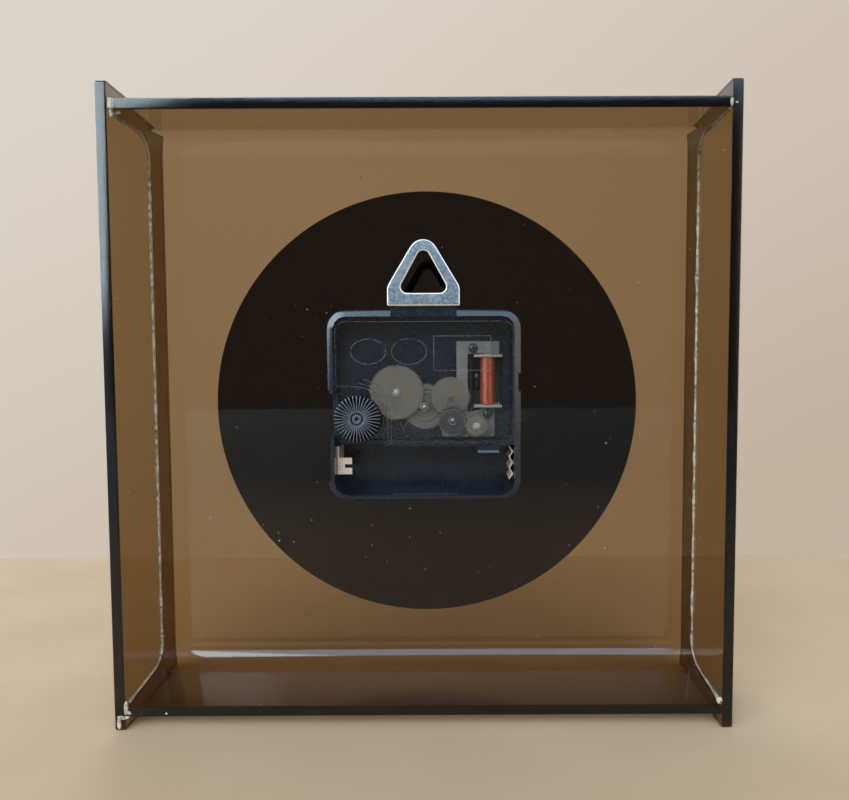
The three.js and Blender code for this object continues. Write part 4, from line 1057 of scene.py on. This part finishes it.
def coverMarks(values):
    front, rear, line = values["sunk"], values["proud"], values["line"]
    parts = []
    for x, z, halfWidth, halfHeight in values["ovals"]:
        oval = ring("oval", (x, z), halfWidth, halfWidth - line, front, rear)
        pick(oval, "VERT", lambda co: True)
        bpy.ops.transform.resize(value=(1, 1, halfHeight / halfWidth),
                                 center_override=(x * mm, front * mm, z * mm))
        clearSelection()
        parts.append(oval)
    left, right, bottom, top = values["frame"]
    edging = plate("frameLine", box(left, right, bottom, top), front, rear)
    inside = box(left + line, right - line, bottom + line, top - line)
    subtract(edging, plate("frameInside", inside, front - 1, rear + 1))
    x, z, radius = values["ring"]
    parts += [edging, ring("wheelRing", (x, z), radius, radius - line, front, rear)]
    parts += [ring("bearingRing", at, *values["bearingRing"], front, rear, 48) for at in values["bearings"]]
    left, right, bottom, top, corner = values["edge"]
    rim = [(right, bottom + values["edgeStop"])]
    for x, start in ((right - corner, 0), (left + corner, 90)):
        for angle in range(start, start + 91, 15):
            turn = math.radians(angle)
            rim.append((x + corner * math.cos(turn), top - corner + corner * math.sin(turn)))
    rim.append((left, bottom))
    parts += [stroke("markLine", points, line, front, rear) for points in values["lines"]]
    parts.append(stroke("edgeLine", rim, values["edgeWidth"], front, values["edgeProud"]))
    piece = merged("coverMarks", parts)
    outward(piece)
    soften(piece, values["bevel"], angle=50)
    return finished(piece, "case", "relief")


coverMarks(marks)

# A low pad along the battery bay's outer wall, and a button on the bay's floor

bayPad = {
    "low": (-10.4, 2, 66.3),
    "high": (9.0, 10.4, 66.78),
    "bevel": 0.15,
    "button": (-23.1, 68.4),
    "buttonShape": [(0, -3.5), (1.4, -3.5), (1.4, -3.3), (1.25, -3.15), (0, -3.15)],  # radius and Y
}


def addBayPad(values):
    piece = block("bayPad", values["low"], values["high"])
    soften(piece, values["bevel"], 3, 50)
    button = turned("button", values["button"], values["buttonShape"])
    return finished(merged("bayPad", [piece, button]), "case", "housing")


addBayPad(bayPad)

# Moulded hook that holds the cover down, with a rounded back

hook = {"low": (-22.15, 10.1, 78.6), "high": (-15.8, 11.15, 80.2), "round": 0.35, "tilt": 0.6}


def coverHook(values):
    low, high = values["low"], values["high"]
    piece = block("coverHook", low, high)
    pick(piece, "VERT", lambda co: co.y > (high[1] - 0.01) * mm and co.z > (high[2] - 0.01) * mm)
    bpy.ops.transform.translate(value=(0, -values["tilt"] * mm, 0))
    leaveEdit()
    soften(piece, values["round"], 5, 50)
    return finished(piece, "case", "housing")


coverHook(hook)

# Coil: layers of fine wire, each groove drawn about twice as coarse as the real wire so that it shows

coil = {"wire": 0.22, "depth": 0.05, "barrel": 1.56, "sides": 40}


def coilWinding(values):
    low, high = boxOf("coil_winding")
    centre = ((low.x + high.x) / 2, (low.y + high.y) / 2)
    radius = (high.x - low.x) / 2
    turns = int((high.z - low.z) / values["wire"])
    pitch = (high.z - low.z) / turns
    inner = values["barrel"]
    profile = [(inner, low.z), (radius - values["depth"], low.z)]
    for i in range(turns):
        profile.append((radius, low.z + (i + 0.5) * pitch))
        profile.append((radius - values["depth"], low.z + (i + 1) * pitch))
    profile += [(inner, high.z), (inner, low.z)]
    piece = turned("coilWinding", centre, profile, values["sides"], upright=True)
    return finished(piece, "case", "copper", ["coil_winding"], smooth=80)


coilWinding(coil)

# Setting knob: a shallow cup with 36 fins round a hollow hub

knob = {
    "centre": (19.2529, 88.57),
    "fins": 36,
    "finInner": 2.2,
    "finOuter": 6.88,
    "finWidth": 0.3,
    "finRoot": 0.1,
    "finBreak": (6.2, 0.2, 24),  # from this radius, this far down, the fin's end falls off at this angle
    "base": 0.8,
    "ring": (2.35, 1.95),  # outer and inner radius
    "tube": (1.35, 0.66),
    "moat": 0.85,  # this depth and the next three are from the fins' tops
    "tubeDrop": 0.12,
    "eyeDepth": 0.95,
    "cap": 1.2,
    "bore": 1.22,
    "sides": 72,
    "bevel": 0.08,
    "finBevel": 0.07,
}


def settingKnob(values):
    low, high = boxOf("setting_knob")
    x, z = values["centre"]
    front, rear = low.y, high.y
    floor = front + values["base"]
    bore = values["bore"]
    ringOuter, ringInner = values["ring"]
    tube, eye = values["tube"]
    tubeTop, moat = rear - values["tubeDrop"], rear - values["moat"]
    profile = [
        (bore, front), (high.x - x, front), (high.x - x, floor), (ringOuter, floor),
        (ringOuter, rear), (ringInner, rear), (ringInner, moat), (tube, moat),
        (tube, tubeTop), (eye, tubeTop), (eye, rear - values["eyeDepth"]), (0, rear - values["eyeDepth"]),
    ]
    cup = turned("knobCup", (x, z), profile, values["sides"])
    middle = Vector((x * mm, 0, z * mm))

    def onBore(point):
        flat = Vector((point.x, 0, point.z))
        return point.y < (front + 1e-3) * mm and abs((flat - middle).length - bore * mm) < 2e-5

    pick(cup, "EDGE", lambda a, b: onBore(a) and onBore(b))
    depth = rear - values["cap"] - front
    bpy.ops.mesh.extrude_edges_move(TRANSFORM_OT_translate={"value": (0, depth * mm, 0)})
    bpy.ops.mesh.edge_face_add()
    outward(cup)
    soften(cup, values["bevel"], angle=50, clamp=False)
    half = values["finWidth"] / 2
    fin = block("knobFin", (x - half, floor - values["finRoot"], z + values["finInner"]),
                (x + half, rear, z + values["finOuter"]))
    start, sunk, angle = values["finBreak"]
    for tilt in (math.atan(sunk / (start - values["finInner"])), math.radians(angle)):
        focus(fin)
        editAll()
        bpy.ops.mesh.bisect(plane_co=(x * mm, (rear - sunk) * mm, (z + start) * mm),
                            plane_no=(0, math.cos(tilt), math.sin(tilt)), use_fill=True, clear_outer=True)
        leaveEdit()
    outward(fin)
    soften(fin, values["finBevel"], angle=20)
    fins = [fin]
    for i in range(1, values["fins"]):
        other = bpy.data.objects.new(f"fin{i}", fin.data.copy())
        bpy.context.scene.collection.objects.link(other)
        turn = 2 * math.pi * i / values["fins"]
        sine, cosine = math.sin(turn), math.cos(turn)
        for vert in other.data.vertices:
            dx, dz = vert.co.x - x * mm, vert.co.z - z * mm
            vert.co.x = x * mm + dx * cosine + dz * sine
            vert.co.z = z * mm - dx * sine + dz * cosine
        fins.append(other)
    piece = merged("settingKnob", [cup] + fins)
    return finished(piece, "setting", "knob", ["setting_knob"])


settingKnob(knob)
print("knob ready")
